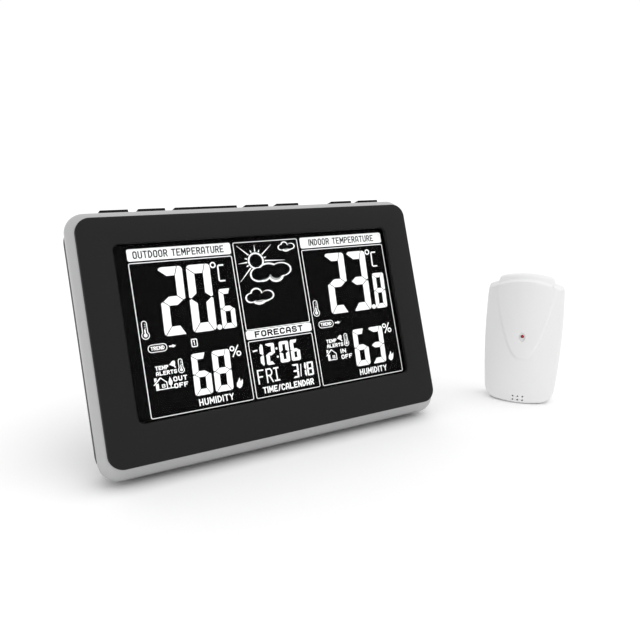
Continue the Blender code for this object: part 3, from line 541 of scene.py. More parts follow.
def table_stand():
    """A flat leg with a hinge barrel and a recessed face, cut level above its rubber pad."""
    half = STAND_W / 2
    face = STAND_T - HINGE_INSET
    recess = 1.0
    turn = Matrix.Rotation(STAND_OPEN, 4, "X")
    at = (0, HINGE_Y, HINGE_Z)
    bm = bmesh.new()
    block(bm, (-half, -HINGE_INSET, -STAND_LENGTH), (half, face, -0.5))
    obj = place("stand_leg", bm, CONSOLE, COVER, "stand", "cover_black", at, turn)
    barrel = tool(CONSOLE, rod, (0, 0, 0), BARREL_R, STAND_W, "X", 40, at=at, turn=turn)
    change(obj, [barrel], "UNION")
    change(obj, [tool(CONSOLE, rod, (0, 0, 0), 1.15, STAND_W + 8, "X", at=at, turn=turn),
                 tool(CONSOLE, block, (-RECESS_W, face - recess, -88), (RECESS_W, 8, -14),
                      at=at, turn=turn),
                 tool(WORLD, block, (-200, -200, -60), (200, 200, PAD_T + GAP))])
    round_edges(obj, 0.45)
    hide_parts("table_stand")
    bm = bmesh.new()
    for k in range(7):
        z, reach, thick = -22 - 10 * k, RECESS_W - 0.1, 1.0
        block(bm, (-reach, face - recess - 0.02, z - thick / 2), (reach, face - 0.05, z + thick / 2))
    ribs = place("stand_ribs", bm, CONSOLE, COVER, "stand", "cover_black", at, turn)
    round_edges(ribs, 0.2, 2)


def battery_door(name, unit, mat, body, slot, at, half_w, half_h, node):
    """A flat door with rounded corners, moulded grip bars and an arrow for the way it opens."""
    edge, corner = 0.5, 1.6
    rings = [rounded(-DOOR_T, half_w, half_h, -half_h, corner, 8)]
    for across, down in quarter(4):
        inset = edge * across
        rings.append(rounded(-edge * down, half_w - inset, half_h - inset, inset - half_h,
                             corner - inset, 8))
    obj = lofted(name, rings, unit, mat, body, slot, at=at)
    cutters = [tool(unit, plate, -0.45, 2, 6.5, 0.45, half_h - 5 - 1.8 * k, 0.44, at=at)
               for k in range(5)]
    tip = half_h - 17.5
    arrow = [(-3, tip), (3, tip), (0, tip - 3.4)]
    cutters.append(tool(unit, skin, [[(x, y, z) for x, z in arrow] for y in (-0.35, 2)], at=at))
    change(obj, cutters)
    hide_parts(node)


# ------------------------------------------------------------------ display artwork

def inset_shape(points, amount):
    """A convex outline moved inwards by amount, corner by corner."""
    count = len(points)
    area = sum(points[i][0] * points[(i + 1) % count][1]
               - points[(i + 1) % count][0] * points[i][1] for i in range(count))
    side = 1 if area > 0 else -1
    corners = []
    for i in range(count):
        before, here, after = (Vector(points[(i + k) % count]) for k in (-1, 0, 1))
        one = (here - before).normalized()
        two = (after - here).normalized()
        normal_one = Vector((-one.y, one.x)) * side
        normal_two = Vector((-two.y, two.x)) * side
        bend = 1 + normal_one.dot(normal_two)
        corners.append(tuple(here + (normal_one + normal_two) * (amount / bend)))
    return corners


ART_T = 0.06


def prism(bm, outline, layer=0):
    """A flat figure on the display, as a thin solid."""
    front = ART_Y - ART_T * (layer + 1)
    rings = [[(ART_X + x, y, ART_Z + z) for x, z in outline]
             for y in (front, front + ART_T * 0.8)]
    skin(bm, rings)


def band(bm, outer, inner, layer=0):
    """A closed line on the display, between two outlines of equal counts."""
    front = ART_Y - ART_T * (layer + 1)
    back = front + ART_T * 0.8
    rings = [[(ART_X + x, front, ART_Z + z) for x, z in outer],
             [(ART_X + x, back, ART_Z + z) for x, z in outer],
             [(ART_X + x, back, ART_Z + z) for x, z in inner],
             [(ART_X + x, front, ART_Z + z) for x, z in inner]]
    skin(bm, rings, closed=True)


def box_outline(left, right, top, bottom, radius, steps=5):
    ring = rounded(0, (right - left) / 2, top, bottom, radius, steps)
    middle = (left + right) / 2
    return [(x + middle, z) for x, _, z in ring]


def line_box(bm, left, right, top, bottom, radius, line):
    band(bm, box_outline(left, right, top, bottom, radius),
         box_outline(left + line, right - line, top - line, bottom + line,
                     max(0.05, radius - line)))


def disc_outline(x, z, radius, steps=24):
    return [(x + radius * math.cos(math.tau * k / steps),
             z + radius * math.sin(math.tau * k / steps)) for k in range(steps)]


def segment_shapes(width, height, across, down):
    """Outlines of a digit's seven segments, by letter: round outer corners, pointed ends."""
    radius, tip = across * 0.5, across * 0.28
    mid = height / 2
    low, high, top = mid - down / 2, mid + down / 2, height - down
    corner = [(radius - radius * math.cos(math.pi / 2 * k / 5),
               height - radius + radius * math.sin(math.pi / 2 * k / 5)) for k in range(6)]
    side = [(0, mid + down * 0.12), (tip, mid), (across, high), (across, top)]
    far = width - across
    split = far + across * 0.35
    shapes = {"f": corner[1::-1] + side,
              "a": corner[1:] + [(split, height), (far, top), (across, top)],
              "g": [(tip, mid), (across, high), (far, high), (width - tip, mid), (far, low),
                    (across, low)]}
    shapes["e"] = [(x, height - z) for x, z in corner[3::-1] + side]
    shapes["c"] = [(width - x, height - z) for x, z in corner[4::-1] + side]
    shapes["d"] = [(x, height - z) for x, z in corner[3:]]
    shapes["d"] += [(width - x, height - z) for x, z in corner[:3:-1]]
    shapes["d"] += [(far, down), (across, down)]
    shapes["b"] = [(split, height)] + [(width - x, z) for x, z in corner[::-1] + side]
    return shapes


DIGITS = {"0": "abcdef", "1": "bc", "2": "abged", "3": "abgcd", "6": "afgecd", "8": "abcdefg"}
SLANT = 0.035


def digit(bm, figure, left, right, top, bottom, across, down, gap=0.2):
    """A slanted seven-segment figure whose tips just fill the given box."""
    height = top - bottom
    width = right - left - height * SLANT
    for letter, shape in segment_shapes(width, height, across, down).items():
        if letter in DIGITS[figure]:
            prism(bm, [(left + x + z * SLANT, bottom + z) for x, z in inset_shape(shape, gap)])


def moved(x, z, *points):
    return [(x + dx, z + dz) for dx, dz in points]


def ribbon(bm, points, width, layer=0, closed=False):
    """A line of even width through the points, with mitred corners."""
    points = [Vector(point) for point in points]
    count = len(points)
    left, right = [], []
    for i, here in enumerate(points):
        after = points[(i + 1) % count] if i < count - 1 or closed else None
        before = points[i - 1] if i or closed else None
        two = (after - here).normalized() if after is not None else (here - before).normalized()
        one = (here - before).normalized() if before is not None else two
        across = Vector((-one.y - two.y, one.x + two.x)) / max(0.5, 1 + one.dot(two)) * width / 2
        left.append(tuple(here + across))
        right.append(tuple(here - across))
    if closed:
        band(bm, left, right, layer)
    else:
        prism(bm, left + right[::-1], layer)


def degree_c(bm, x, z):
    """A degree ring and a square-cut C."""
    ribbon(bm, disc_outline(x, z, 1.4, 20), 0.75, closed=True)
    ribbon(bm, moved(x, z, (6.2, -0.4), (3.4, -0.4), (2.8, -1.0), (2.5, -8.7), (3.1, -9.3),
                     (6.1, -9.3)), 0.85)


def percent(bm, x, z):
    for middle in moved(x, z, (1.5, -1.9), (5.1, -5.0)):
        ribbon(bm, disc_outline(*middle, 1.15, 16), 0.7, closed=True)
    ribbon(bm, moved(x, z, (5.3, -0.2), (1.3, -6.6)), 0.7)


def thermometer(bm, x, top, bottom, size=1.0):
    """Outline tube and bulb, with a filled column and three scale marks."""
    tube, bulb, line = 1.4 * size, 2.1 * size, 0.42
    centre = bottom + bulb
    spread = math.asin(tube / bulb)
    outline = []
    for k in range(9):
        angle = math.pi * k / 8
        outline.append((x + tube * math.cos(angle), top - tube + tube * math.sin(angle)))
    for k in range(15):
        angle = math.pi / 2 + spread + (math.tau - 2 * spread) * k / 14
        outline.append((x + bulb * math.cos(angle), centre + bulb * math.sin(angle)))
    ribbon(bm, outline, line, closed=True)
    prism(bm, disc_outline(x, centre, bulb * 0.5, 16))
    ribbon(bm, [(x, centre), (x, top - (top - bottom) * 0.45)], tube * 0.55)
    for k in range(3):
        z = top - tube - 0.3 - 1.1 * size * k
        ribbon(bm, [(x, z), (x + tube * 0.6, z)], 0.3)


def trend(bm, texts, left, right, z):
    line_box(bm, left, right, z + 2.15, z - 2.2, 2.1, 0.4)
    texts.append(("TREND", left + 1.5, right - 1.5, z + 1.05, z - 1.05, 0.42))
    ribbon(bm, [(right + 1.0, z), (right + 3.0, z)], 0.8)
    prism(bm, [(right + 2.9, z + 1.0), (right + 2.9, z - 1.0), (right + 4.8, z)])


def house(bm, x, z, tree):
    """A small house with a heavy side wall, a chimney, a window and, outdoors, a tree."""
    prism(bm, moved(x, z, (1.0, 0), (2.6, 0), (2.6, 3.7), (1.0, 3.3)))
    ribbon(bm, moved(x, z, (2.5, 0.3), (7.0, 0.3), (7.0, 3.7), (4.2, 6.2)), 0.5)
    prism(bm, moved(x, z, (-0.3, 2.9), (0.6, 2.9), (4.6, 6.5), (3.6, 6.6)))
    prism(bm, moved(x, z, (0.6, 4.4), (1.9, 5.4), (1.9, 6.6), (0.6, 6.6)))
    line_box(bm, x + 4.2, x + 6.0, z + 2.9, z + 1.1, 0.1, 0.35)
    ribbon(bm, moved(x, z, (4.3, 2.0), (5.9, 2.0)), 0.3)
    if tree:
        prism(bm, moved(x, z, (9.0, 6.4), (10.1, 3.6), (9.9, 2.2), (9.0, 1.7), (8.1, 2.2),
                        (7.9, 3.6)))
        ribbon(bm, moved(x, z, (9.0, 1.9), (9.0, 0.4)), 0.5)
        ribbon(bm, moved(x, z, (7.2, 0.3), (11.0, 0.3)), 0.5)


def bell(bm, x, z):
    outline = [(-1.9, -1.2), (-1.4, -0.6), (-1.0, 0.9), (-0.4, 1.7), (0.4, 1.7), (1.0, 0.9),
               (1.4, -0.6), (1.9, -1.2)]
    tilt = Matrix.Rotation(math.radians(-30), 2)
    prism(bm, [tuple(Vector((x, z)) + tilt @ Vector(point)) for point in outline])
    prism(bm, disc_outline(x + 1.0, z - 1.9, 0.42, 12))


def comfort_mark(bm, x, z):
    """A small flame-like mark beside the humidity."""
    tall = ((-0.6, -2.9), (-1.9, -1.7), (-1.7, -0.1), (-0.6, 1.4), (0.3, 3.0), (0.6, 1.4),
            (1.0, -0.6), (0.6, -2.3))
    low = ((-0.6, -2.9), (-0.2, -0.5), (1.2, 1.0), (2.1, 1.8), (1.9, -0.2), (1.2, -2.0), (0.2, -2.9))
    for tongue in (tall, low):
        prism(bm, moved(x, z, *tongue))


CLOUD = ((-8.0, -0.9, 5.3, 4.3), (-1.2, 1.3, 6.6, 4.3), (7.0, 1.1, 6.7, 4.2), (3.0, -2.6, 4.8, 3.6),
         (-5.5, -2.0, 4.8, 3.3))
PUFF = ((-7.6, -0.6, 4.6, 4.0), (-2.2, 2.6, 5.2, 4.6), (7.6, 0.4, 5.6, 4.2), (-0.4, -3.2, 5.6, 3.4),
        (5.0, -1.6, 4.6, 3.2))


def cloud(bm, shade, mask, centre, lobes, size, line):
    """A cloud: the outer edge of some oval lobes, as a closed line with a shaded underside."""
    steps = 120
    centre = Vector(centre)
    rays, reaches = [], []
    for k in range(steps):
        angle = math.tau * k / steps
        ray = Vector((math.cos(angle), math.sin(angle)))
        reach = 0.0
        for x, z, wide, high in lobes:
            along = Vector((ray.x / wide, ray.y / high))
            middle = Vector((x / wide, z / high))
            span = along.length_squared
            part = along.dot(middle) / span
            rest = part * part - (middle.length_squared - 1) / span
            if rest > 0:
                reach = max(reach, part + math.sqrt(rest))
        rays.append(ray)
        reaches.append(reach * size)
    outer = [tuple(centre + ray * reach) for ray, reach in zip(rays, reaches)]
    thick = [line * (1 + 0.35 * max(0.0, -ray.y)) for ray in rays]
    inner = [tuple(centre + ray * (reach - width)) for ray, reach, width in zip(rays, reaches, thick)]
    prism(mask, outer, 1)
    band(bm, outer, inner, 2)
    under = [k for k in range(steps) if rays[k].y < -0.22]
    edge = [tuple(centre + rays[k] * (reaches[k] - thick[k])) for k in under]
    depth = [thick[k] + size * 2.2 * (-rays[k].y - 0.2) for k in under]
    back = [tuple(centre + rays[k] * max(0.2, reaches[k] - amount))
            for k, amount in zip(under, depth)]
    prism(shade, edge + back[::-1], 2)


LONG_RAYS = ((-2.5, 18.5), (39, 14.3), (88, 9.4), (138, 14.2), (185, 11.0), (225, 16.2))
SHORT_RAYS = (16, 65, 113, 165, 205)


def sun(bm, x, z):
    """A ring with long tapering rays and short ones between them."""
    ribbon(bm, disc_outline(x, z, 4.5, 48), 1.0, closed=True)
    middle = Vector((x, z))
    rays = [(turn, end, 0.08) for turn, end in LONG_RAYS] + [(turn, 7.0, 0.2) for turn in SHORT_RAYS]
    for turn, end, tip in rays:
        ray = Vector((math.cos(math.radians(turn)), math.sin(math.radians(turn))))
        side = Vector((-ray.y, ray.x))
        start = 5.5
        prism(bm, [tuple(middle + ray * start - side * 0.4), tuple(middle + ray * end - side * tip),
                   tuple(middle + ray * end + side * tip), tuple(middle + ray * start + side * 0.4)])


# Letters as lines on a grid four wide and six high; each pair is one point.
GLYPHS = {"A": "00 04 16 36 44 40,02 42", "C": "45 36 16 05 01 10 30 41", "D": "00 06 26 44 42 20 00",
          "E": "46 06 00 40,03 33", "F": "46 06 00,03 33", "H": "00 06,40 46,03 43", "I": "00 06",
          "L": "06 00 40", "M": "00 06 22 46 40", "N": "00 06 40 46",
          "O": "16 05 01 10 30 41 45 36 16", "P": "00 06 36 45 44 33 03",
          "R": "00 06 36 45 44 33 03,23 40", "S": "45 36 16 05 04 13 33 42 41 30 10 01",
          "T": "06 46,26 20", "U": "06 01 10 30 41 46", "Y": "06 23 46,23 20", "/": "00 46",
          " ": ""}
GLYPH_WIDTHS = {"I": 0.0, "M": 4.8, " ": 1.6, "/": 2.4}


def split_sharp(points):
    """Cut a line where it turns back sharply, so that every part can be drawn with mitres."""
    parts = [[points[0]]]
    for i in range(1, len(points)):
        parts[-1].append(points[i])
        if i < len(points) - 1:
            one = Vector(points[i]) - Vector(points[i - 1])
            two = Vector(points[i + 1]) - Vector(points[i])
            if one.angle(two) > math.radians(100):
                parts.append([points[i]])
    return parts


def words(bm, text, left, right, top, bottom, pen, layer):
    """Plain line lettering that fills the given box."""
    advance = [GLYPH_WIDTHS.get(letter, 4.0) for letter in text]
    space = 2.6
    total = sum(advance) + space * (len(text) - 1)
    unit = (right - left - pen) / total
    rise = (top - bottom - pen) / 6
    x = left + pen / 2
    for letter, width in zip(text, advance):
        for line in GLYPHS[letter].split(","):
            points = [(x + int(pair[0]) * unit * max(width, 0.01) / 4,
                       bottom + pen / 2 + int(pair[1]) * rise) for pair in line.split()]
            if not points:
                continue
            if len(points) > 2 and points[0] == points[-1]:
                ribbon(bm, points[:-1], pen, layer, True)
                continue
            for part in split_sharp(points):
                first, last = Vector(part[0]), Vector(part[-1])
                part[0] = tuple(first + (first - Vector(part[1])).normalized() * pen / 2)
                part[-1] = tuple(last + (last - Vector(part[-2])).normalized() * pen / 2)
                ribbon(bm, part, pen, layer)
        x += (width + space) * unit


def lettering(name, texts, mat, slot, layer):
    bm = bmesh.new()
    for text in texts:
        words(bm, *text, layer)
    place(name, bm, CONSOLE, mat, "console", slot)


COLUMNS = ((-80.6, -22.3), (-20.8, 20.6), (22.3, 81.0))
HEAD_TOP, HEAD_LOW, BOX_TOP, BOX_LOW = 45.0, 38.4, 37.5, -45.0
BAND_TOP, BAND_LOW, TIME_TOP = -6.1, -11.3, -12.3
FIGURE_TOP, FIGURE_LOW, TENTHS_TOP = 34.3, -3.4, 19.3
HUMID_TOP, HUMID_LOW, LABEL_TOP, LABEL_LOW = -14.3, -37.4, -39.1, -42.8
BOX_R, BOX_LINE = 1.1, 0.42


def side_column(bm, texts, titles, column, title, title_box, figures, edge, tree, place_word,
                push):
    """One of the two temperature and humidity columns.

    figures holds the degrees, the tenths and the humidity. push moves the small marks over.
    """
    left, right = column
    prism(bm, box_outline(left, right, HEAD_TOP, HEAD_LOW, BOX_R))
    titles.append((title, *title_box, 43.7, 39.7, 0.6))
    line_box(bm, left, right, BOX_TOP, BOX_LOW, BOX_R, BOX_LINE)
    big, small, humid = figures
    for figure, (x0, x1) in zip(big, ((0, 14.9), (15.8, 30.7))):
        digit(bm, figure, edge + x0 - 0.2, edge + x1 + 0.2,
              FIGURE_TOP, FIGURE_LOW, 4.7, 5.3)
    prism(bm, disc_outline(edge + 31.1, -1.9, 1.45))
    digit(bm, small, edge + 32.6, edge + 42.2, TENTHS_TOP, FIGURE_LOW, 3.0, 3.2, 0.15)
    degree_c(bm, edge + 32.6, 33.0)
    for figure, (x0, x1) in zip(humid, ((11.4, 22.2), (23.1, 34.1))):
        digit(bm, figure, edge + x0, edge + x1 + 0.5,
              HUMID_TOP, HUMID_LOW, 3.6, 3.6, 0.15)
    percent(bm, edge + 34.7, -12.9)
    comfort_mark(bm, edge + 37.6, -34.2)
    texts.append(("HUMIDITY", edge + 13.0, edge + 33.0, LABEL_TOP, LABEL_LOW, 0.66))
    thermometer(bm, left + 3.6, 6.4, -3.2, 0.95)
    trend(bm, texts, left + 3.6, left + 14.0, -8.6)
    near = left + push
    texts.append(("TEMP", near + 5.9, near + 13.0, -18.1, -20.3, 0.5))
    texts.append(("ALERTS", near + 5.9, near + 17.2, -21.0, -23.2, 0.5))
    bell(bm, near + 15.6, -18.0)
    thermometer(bm, near + 19.7, -16.0, -23.5, 0.76)
    house(bm, near + 3.9 + push * 0.4, -30.8, tree)
    texts.append((place_word[0], near + 14.6, near + place_word[1], -24.9, -27.5, 0.6))
    texts.append(("OFF", near + 14.6, near + 22.2, -28.5, -31.1, 0.6))


def display():
    """All the lit figures, on the glass behind the window."""
    bm, shade, mask = bmesh.new(), bmesh.new(), bmesh.new()
    texts, titles = [], []
    side_column(bm, texts, titles, COLUMNS[0], "OUTDOOR TEMPERATURE", (-77.6, -26.6),
                ("20", "6", "68"), -67.0, True, ("OUT", 22.2), 0.0)
    side_column(bm, texts, titles, COLUMNS[2], "INDOOR TEMPERATURE", (28.0, 75.0),
                ("23", "8", "63"), 36.2, False, ("IN", 18.4), 1.1)
    line_box(bm, -53.4, -49.8, -6.3, -10.9, 0.8, 0.55)
    ribbon(bm, [(-52.2, -7.9), (-51.6, -7.5), (-51.6, -9.8)], 0.5)

    left, right = COLUMNS[1]
    line_box(bm, left, right, HEAD_TOP - 0.2, BAND_TOP + 0.1, BOX_R, BOX_LINE)
    prism(bm, box_outline(left - 0.4, right + 0.2, BAND_TOP - 0.2, BAND_LOW, BOX_R))
    titles.append(("FORECAST", -15.9, 15.0, -7.0, -10.6, 0.85))
    line_box(bm, left, right, TIME_TOP, BOX_LOW, BOX_R, BOX_LINE)
    sun(bm, -8.0, 33.3)
    cloud(bm, shade, mask, (0.2, 26.1), CLOUD, 1.0, 1.0)
    cloud(bm, shade, mask, (-9.4, 12.6), PUFF, 0.72, 0.95)
    cloud(bm, shade, mask, (12.5, 40.3), PUFF, 0.45, 0.75)
    for x0, x1, figure in ((-18.4, -12.2, "1"), (-11.2, -5.0, "2"), (-2.6, 4.1, "0"),
                           (4.6, 11.2, "6")):
        digit(bm, figure, x0, x1, -14.8, -27.3, 2.3, 2.0, 0.07)
    for z in (-18.5, -23.3):
        prism(bm, disc_outline(-3.9, z, 0.65, 14))
    ribbon(bm, [(-18.8, -18.2), (-15.9, -17.9)], 0.9)
    words(bm, "FR", -18.2, -8.8, -29.0, -37.2, 0.8, 0)
    ribbon(bm, [(-6.3, -29.5), (-6.3, -36.6)], 0.8)
    for z in (-29.5, -36.6):
        ribbon(bm, [(-8.0, z), (-4.6, z)], 0.9)
    for x0, x1, figure in ((3.7, 8.2, "3"), (9.3, 13.2, "1"), (13.3, 18.0, "8")):
        digit(bm, figure, x0, x1, -29.1, -37.3, 1.25, 1.15, 0.06)
    ribbon(bm, [(9.0, -36.9), (9.9, -29.6)], 0.55)
    texts.append(("TIME/CALENDAR", -16.2, 16.7, LABEL_TOP, LABEL_LOW, 0.72))
    place("display_figures", bm, CONSOLE, ART, "console", "light_guide")
    place("display_shading", shade, CONSOLE, ART_DIM, "console", "light_guide")
    place("display_dark_areas", mask, CONSOLE, DISPLAY, "console", "display_black")
    lettering("display_words", texts, ART, "light_guide", 0)
    lettering("display_titles", titles, DISPLAY, "display_black", 1)


# ------------------------------------------------------------------ remote sensor

def half_width(z):
    return SHELL_W - SHELL_CURVE * (z - SHELL_WIDEST) ** 2


def inside_view(x, z, inset):
    """Whether a point lies in the sensor's outline seen from the front."""
    x = abs(x)
    low = inset + FOOT_ARCH * (x / 24) ** 2
    if low <= z <= SHELL_TOP - SHELL_ARCH * (x / 24) ** 2 - inset and x <= half_width(z) - inset:
        corner_x = half_width(0) - SHELL_FOOT_R
        corner_r = SHELL_FOOT_R - inset
        centre_z = SHELL_FOOT_R + FOOT_ARCH * 0.8
        if z < centre_z and x > corner_x:
            return (x - corner_x) ** 2 + (z - centre_z) ** 2 <= corner_r ** 2
        return True
    base = SHELL_TOP - 8
    slope = (CAP_BASE - CAP_W) / (CAP_TOP - CAP_ARCH - base)
    cap = CAP_BASE - (z - base) * slope - inset
    return base < z <= CAP_TOP - CAP_ARCH * (x / CAP_W) ** 2 - inset and x <= cap


VIEW_MIDDLE = 43.0
TURNS = 288


def view_radii(inset):
    """Distance from the middle to the outline in each direction, with softened corners."""
    radii = []
    for k in range(TURNS):
        angle = math.tau * k / TURNS
        low, high = 0.0, 70.0
        for _ in range(24):
            middle = (low + high) / 2
            if inside_view(middle * math.cos(angle), VIEW_MIDDLE + middle * math.sin(angle), inset):
                low = middle
            else:
                high = middle
        radii.append(low)
    for _ in range(2):
        radii = [min(r, (radii[k - 1] + 2 * r + radii[(k + 1) % TURNS]) / 4)
                 for k, r in enumerate(radii)]
    return radii


def smooth(value):
    value = min(1.0, max(0.0, value))
    return value * value * (3 - 2 * value)


def apron_rise(x, z):
    """Height of the raised apron at a point of the front, with a soft edge."""
    share = abs(x) / APRON_W
    reach = SHELL_TOP - 1.2 - APRON_TIP
    lower = APRON_TIP + reach * share ** APRON_CURVE
    slope = reach * APRON_CURVE / APRON_W * share ** (APRON_CURVE - 1)
    away = (z - lower) / math.sqrt(1 + slope * slope)
    fade = 1 - 0.35 * smooth((z - 50) / 34)
    return APRON_RISE * smooth(away / 1.5) * fade


def front_depth(x, z):
    """Depth of the front surface: bowed across, raised apron, cap set back at the top."""
    bow = SHELL_BULGE * (1 - (x / (SHELL_W + 1)) ** 2)
    ledge = SHELL_TOP - 1.3 - LEDGE_ARCH * (x / 24) ** 2
    back = smooth((z - ledge) / 1.3)
    return -bow - apron_rise(x, z) * (1 - back) + CAP_STEP * back + max(0.0, z - ledge - 1) * 0.45


def fallen(x, y, z):
    """A point of a shell after its top is sloped down towards the back."""
    share = smooth((z - 60) / 24)
    return x, y, z - TOP_FALL * max(0.0, y + SHELL_BULGE) * share


def shell_rings(inset, edge, depth, far, steps=56):
    """Rings from the middle of a face out to its rounded edge, then along the side to far."""
    radii = view_radii(inset)
    rings = []
    for i in range(1, steps + 1):
        share = 1 - (1 - i / steps) ** 1.25
        ring = []
        for k in range(TURNS):
            angle = math.tau * k / TURNS
            x = radii[k] * share * math.cos(angle)
            z = VIEW_MIDDLE + radii[k] * share * math.sin(angle)
            gap = radii[k] * (1 - share)
            fall = 0.0
            if gap < edge:
                fall = edge - math.sqrt(max(0.0, edge ** 2 - (edge - gap) ** 2))
            ring.append(fallen(x, depth(x, z) + (fall if far > 0 else -fall), z))
        rings.append(ring)
    side = []
    for k in range(TURNS):
        angle = math.tau * k / TURNS
        side.append(fallen(radii[k] * math.cos(angle), abs(far),
                           VIEW_MIDDLE + radii[k] * math.sin(angle)))
    rings.append(side)
    return rings


def led_dimple(bm):
    """An oval hollow round the LED."""
    middle = Matrix.Translation((0, -SHELL_BULGE - APRON_RISE, LED_Z))
    bmesh.ops.create_uvsphere(bm, u_segments=40, v_segments=24, radius=1,
                              matrix=middle @ Matrix.Diagonal((2.1, 2.15, 3.3, 1)))


def sensor_front():
    """The front shell as one closed skin, with the LED's hollow and six vents cut in."""
    thick = SHELL_WALL + 0.5
    outer = shell_rings(0.0, 1.5, front_depth, SHELL_SPLIT)
    inner = shell_rings(SHELL_WALL, 1.0, lambda x, z: front_depth(x, z) + thick, SHELL_SPLIT, 24)
    bm = bmesh.new()
    loops = [[bm.verts.new(p) for p in ring] for ring in outer]
    loops += [[bm.verts.new(p) for p in ring] for ring in reversed(inner)]
    bridge(bm, zip(loops, loops[1:]))
    for loop, depth in ((loops[0], 0.0), (loops[-1], thick)):
        middle = bm.verts.new((0, front_depth(0, VIEW_MIDDLE) + depth, VIEW_MIDDLE))
        for i in range(TURNS):
            bm.faces.new((loop[i], loop[(i + 1) % TURNS], middle))
    obj = place("sensor_front", bm, SENSOR, WHITE, "sensor", "shell_white", sharp=60)
    cutters = [tool(SENSOR, led_dimple), tool(SENSOR, rod, (0, -7, LED_Z), 1.15, 8, "Y", 28)]
    for column in (-1, 0, 1):
        for row in (0, 1):
            cutters.append(tool(SENSOR, rod, (3.2 * column, -8, 2.4 + 2.6 * row), 0.62, 12, "Y", 20))
    change(obj, cutters)
    obj.data.set_sharp_from_angle(angle=math.radians(60))
    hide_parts("sensor_front_shell")


def sensor_rear():
    """The rear shell, walled round its battery bay and its screw posts."""
    rings = shell_rings(0.0, 3.2, lambda x, z: SHELL_BACK, -(SHELL_SPLIT + GAP), 30)
    obj = lofted("sensor_back", rings, SENSOR, WHITE, "sensor", "shell_white", sharp=40)
    rings = shell_rings(SHELL_WALL, 1.5, lambda x, z: SHELL_BACK - SHELL_WALL, -(SHELL_SPLIT - 2), 8)
    hollow = tool(SENSOR, skin, rings)
    wide, low, high = SENSOR_BAY
    rim, lap, seam = 2.9, 1.7, 0.01
    walls = [tool(SENSOR, block, (-wide - rim, -0.6, low - rim), (wide + rim, OUTSIDE, high + rim))]
    walls += [tool(SENSOR, rod, (x, 15, z), SENSOR_POST_R, 30, "Y") for x, z in SENSOR_POSTS]
    change(hollow, walls)
    change(obj, [hollow])
    bay = tool(SENSOR, block, (-wide - rim + seam, -0.4, low - rim + seam),
               (wide + rim - seam, SHELL_SPLIT + 1, high + rim - seam))
    change(obj, [bay], "UNION")
    boxes = (((-wide, 0.9, low), (wide, 30, high)),
             ((-wide - lap, SHELL_BACK - DOOR_T - GAP, low - lap), (wide + lap, 30, high + lap)),
             ((SWITCH_X - SWITCH_TRAVEL - 1.6, 10, SWITCH_Z - 1.2),
              (SWITCH_X + 1.6, OUTSIDE, SWITCH_Z + 1.2)))
    cutters = [tool(SENSOR, block, first, last) for first, last in boxes]
    for x, z in SENSOR_POSTS:
        for radius, middle, length in ((2.1, 19, 20), (1.2, 7, 8)):
            cutters.append(tool(SENSOR, rod, (x, middle, z), radius, length, "Y", 24))
    cutters.append(tool(SENSOR, rod, (0, SHELL_BACK, SENSOR_HANGER_Z), SENSOR_HANGER_R, 8, "Y", 40))
    cutters.append(tool(SENSOR, plate, SHELL_BACK - 4, 8, 1.5, 2.6, SENSOR_HANGER_Z + 3.7, 1.49))
    change(obj, cutters)
    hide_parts("sensor_rear_shell")


def sensor_lamp():
    """A small red LED: flange, barrel and dome."""
    tip, radius = -7.3, 1.05
    stations = [(-3.0, 1.2), (-3.8, 1.2), (-3.8, radius)]
    stations += [(tip - 0.8 * math.sin(t), radius * math.cos(t)) for t in
                 (math.pi / 2 * k / 8 for k in range(8))]
    rings = [[(x, y, z) for x, z in disc_outline(0, LED_Z, r, 28)] for y, r in stations]
    obj = lofted("sensor_lamp", rings, SENSOR, LED, "sensor", "led_red")
    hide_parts("sensor_led")


# ------------------------------------------------------------------ carried-over CAD nodes

LOOKS = {"display_window": WINDOW, "lcd_panel": DISPLAY, "lcd_holder": INNER,
         "light_guide": GUIDE, "lcd_connector": CONNECTOR, "main_board": BOARD,
         "button_board": BOARD, "sensor_board": BOARD, "receiver_module": MODULE,
         "buzzer": PARTS_BLACK, "dc_jack": PARTS_BLACK, "channel_switch": PARTS_BLACK,
         "room_sensor": ELEMENT, "sensor_probe": ELEMENT, "stand_pin": STEEL,
         "switch_body": STEEL, "stand_pad": RUBBER, "console_foot_left": RUBBER,
         "console_foot_right": RUBBER}


def dress_nodes():
    """Give every CAD node its finish, before the shaped pieces take some of their places."""
    for name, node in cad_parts.items():
        mat = LOOKS.get(name)
        if mat is None:
            if "screw" in name:
                mat = STEEL
            elif "contact" in name:
                mat = NICKEL
            elif "_cell_" in name:
                mat = SLEEVE
            elif "antenna" in name:
                mat = COPPER
            else:
                mat = COVER
        node.data.materials.clear()
        node.data.materials.append(mat)


# ------------------------------------------------------------------ camera, floor and light

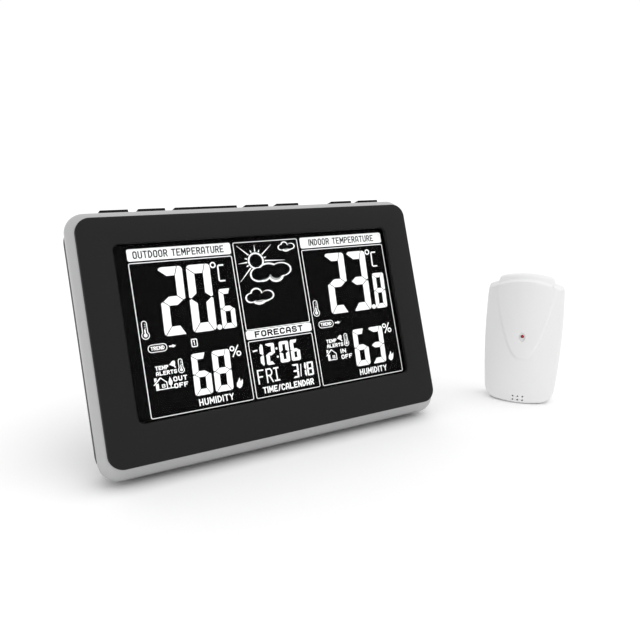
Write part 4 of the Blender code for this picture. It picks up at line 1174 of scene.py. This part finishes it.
def set_camera():
    """A short lens near the front left corner, looking a little down."""
    camera = bpy.data.cameras.new("camera")
    obj = bpy.data.objects.new("camera", camera)
    bpy.context.scene.collection.objects.link(obj)
    art = CONSOLE @ (Vector((ART_X, 3.6, ART_Z)) * MM)
    obj.location = art + Vector((-160.1, -331.3, 89.7)) * MM
    pitch, yaw = math.radians(14.08), math.radians(29.64)
    ahead = Vector((math.sin(yaw) * math.cos(pitch), math.cos(yaw) * math.cos(pitch),
                    -math.sin(pitch)))
    obj.rotation_euler = ahead.to_track_quat("-Z", "Y").to_euler()
    camera.sensor_width = 36.0
    camera.lens = 36.56
    camera.clip_start = 0.01
    bpy.context.scene.camera = obj


def set_stage():
    """A wide pale floor under an even white sky, with a soft sun from the front right."""
    bm = bmesh.new()
    bmesh.ops.create_circle(bm, cap_ends=True, segments=96, radius=9.0)
    mesh = bpy.data.meshes.new("floor")
    bm.to_mesh(mesh)
    bm.free()
    floor = bpy.data.objects.new("floor", mesh)
    bpy.context.scene.collection.objects.link(floor)
    floor.location = (0, 0, -0.0002)
    mat, tree, shader, where = shader_of("floor")
    drift = noise(tree, where, 3.0, 2.0)
    tint = blend_colours(tree, drift, (0.955, 0.955, 0.955), (0.965, 0.965, 0.965))
    tree.links.new(tint, shader.inputs["Base Color"])
    set_inputs(shader, {"Roughness": 0.9, "Specular IOR Level": 0.0})
    mesh.materials.append(mat)
    world = bpy.data.worlds.new("sky")
    world.use_nodes = True
    sky = next(n for n in world.node_tree.nodes if n.type == "BACKGROUND")
    set_inputs(sky, {"Color": (1, 1, 1, 1), "Strength": 1.02})
    bpy.context.scene.world = world
    bpy.context.scene.view_settings.view_transform = "Standard"
    sun_light = bpy.data.lights.new("key", "SUN")
    sun_light.energy = 0.52
    sun_light.angle = math.radians(50)
    key = bpy.data.objects.new("key", sun_light)
    bpy.context.scene.collection.objects.link(key)
    downwards = Vector((-0.45, 0.4, -1.0))
    key.rotation_euler = downwards.to_track_quat("-Z", "Y").to_euler()


set_camera()
set_stage()
dress_nodes()
front_bezel()
silver_frame()
rear_cover()
buttons()
table_stand()
battery_door("rear_door", CONSOLE, COVER, "battery_door", "cover_black",
             (BAY_X, COVER_BACK, BAY_Z), BAY_W / 2 + 1.7, BAY_H / 2 + 1.7, "battery_door")
battery_door("sensor_cover", SENSOR, WHITE, "sensor_door", "shell_white",
             (0, SHELL_BACK, (SENSOR_BAY[1] + SENSOR_BAY[2]) / 2), SENSOR_BAY[0] + 1.4,
             (SENSOR_BAY[2] - SENSOR_BAY[1]) / 2 + 1.4, "sensor_door")
display()
sensor_front()
sensor_rear()
sensor_lamp()
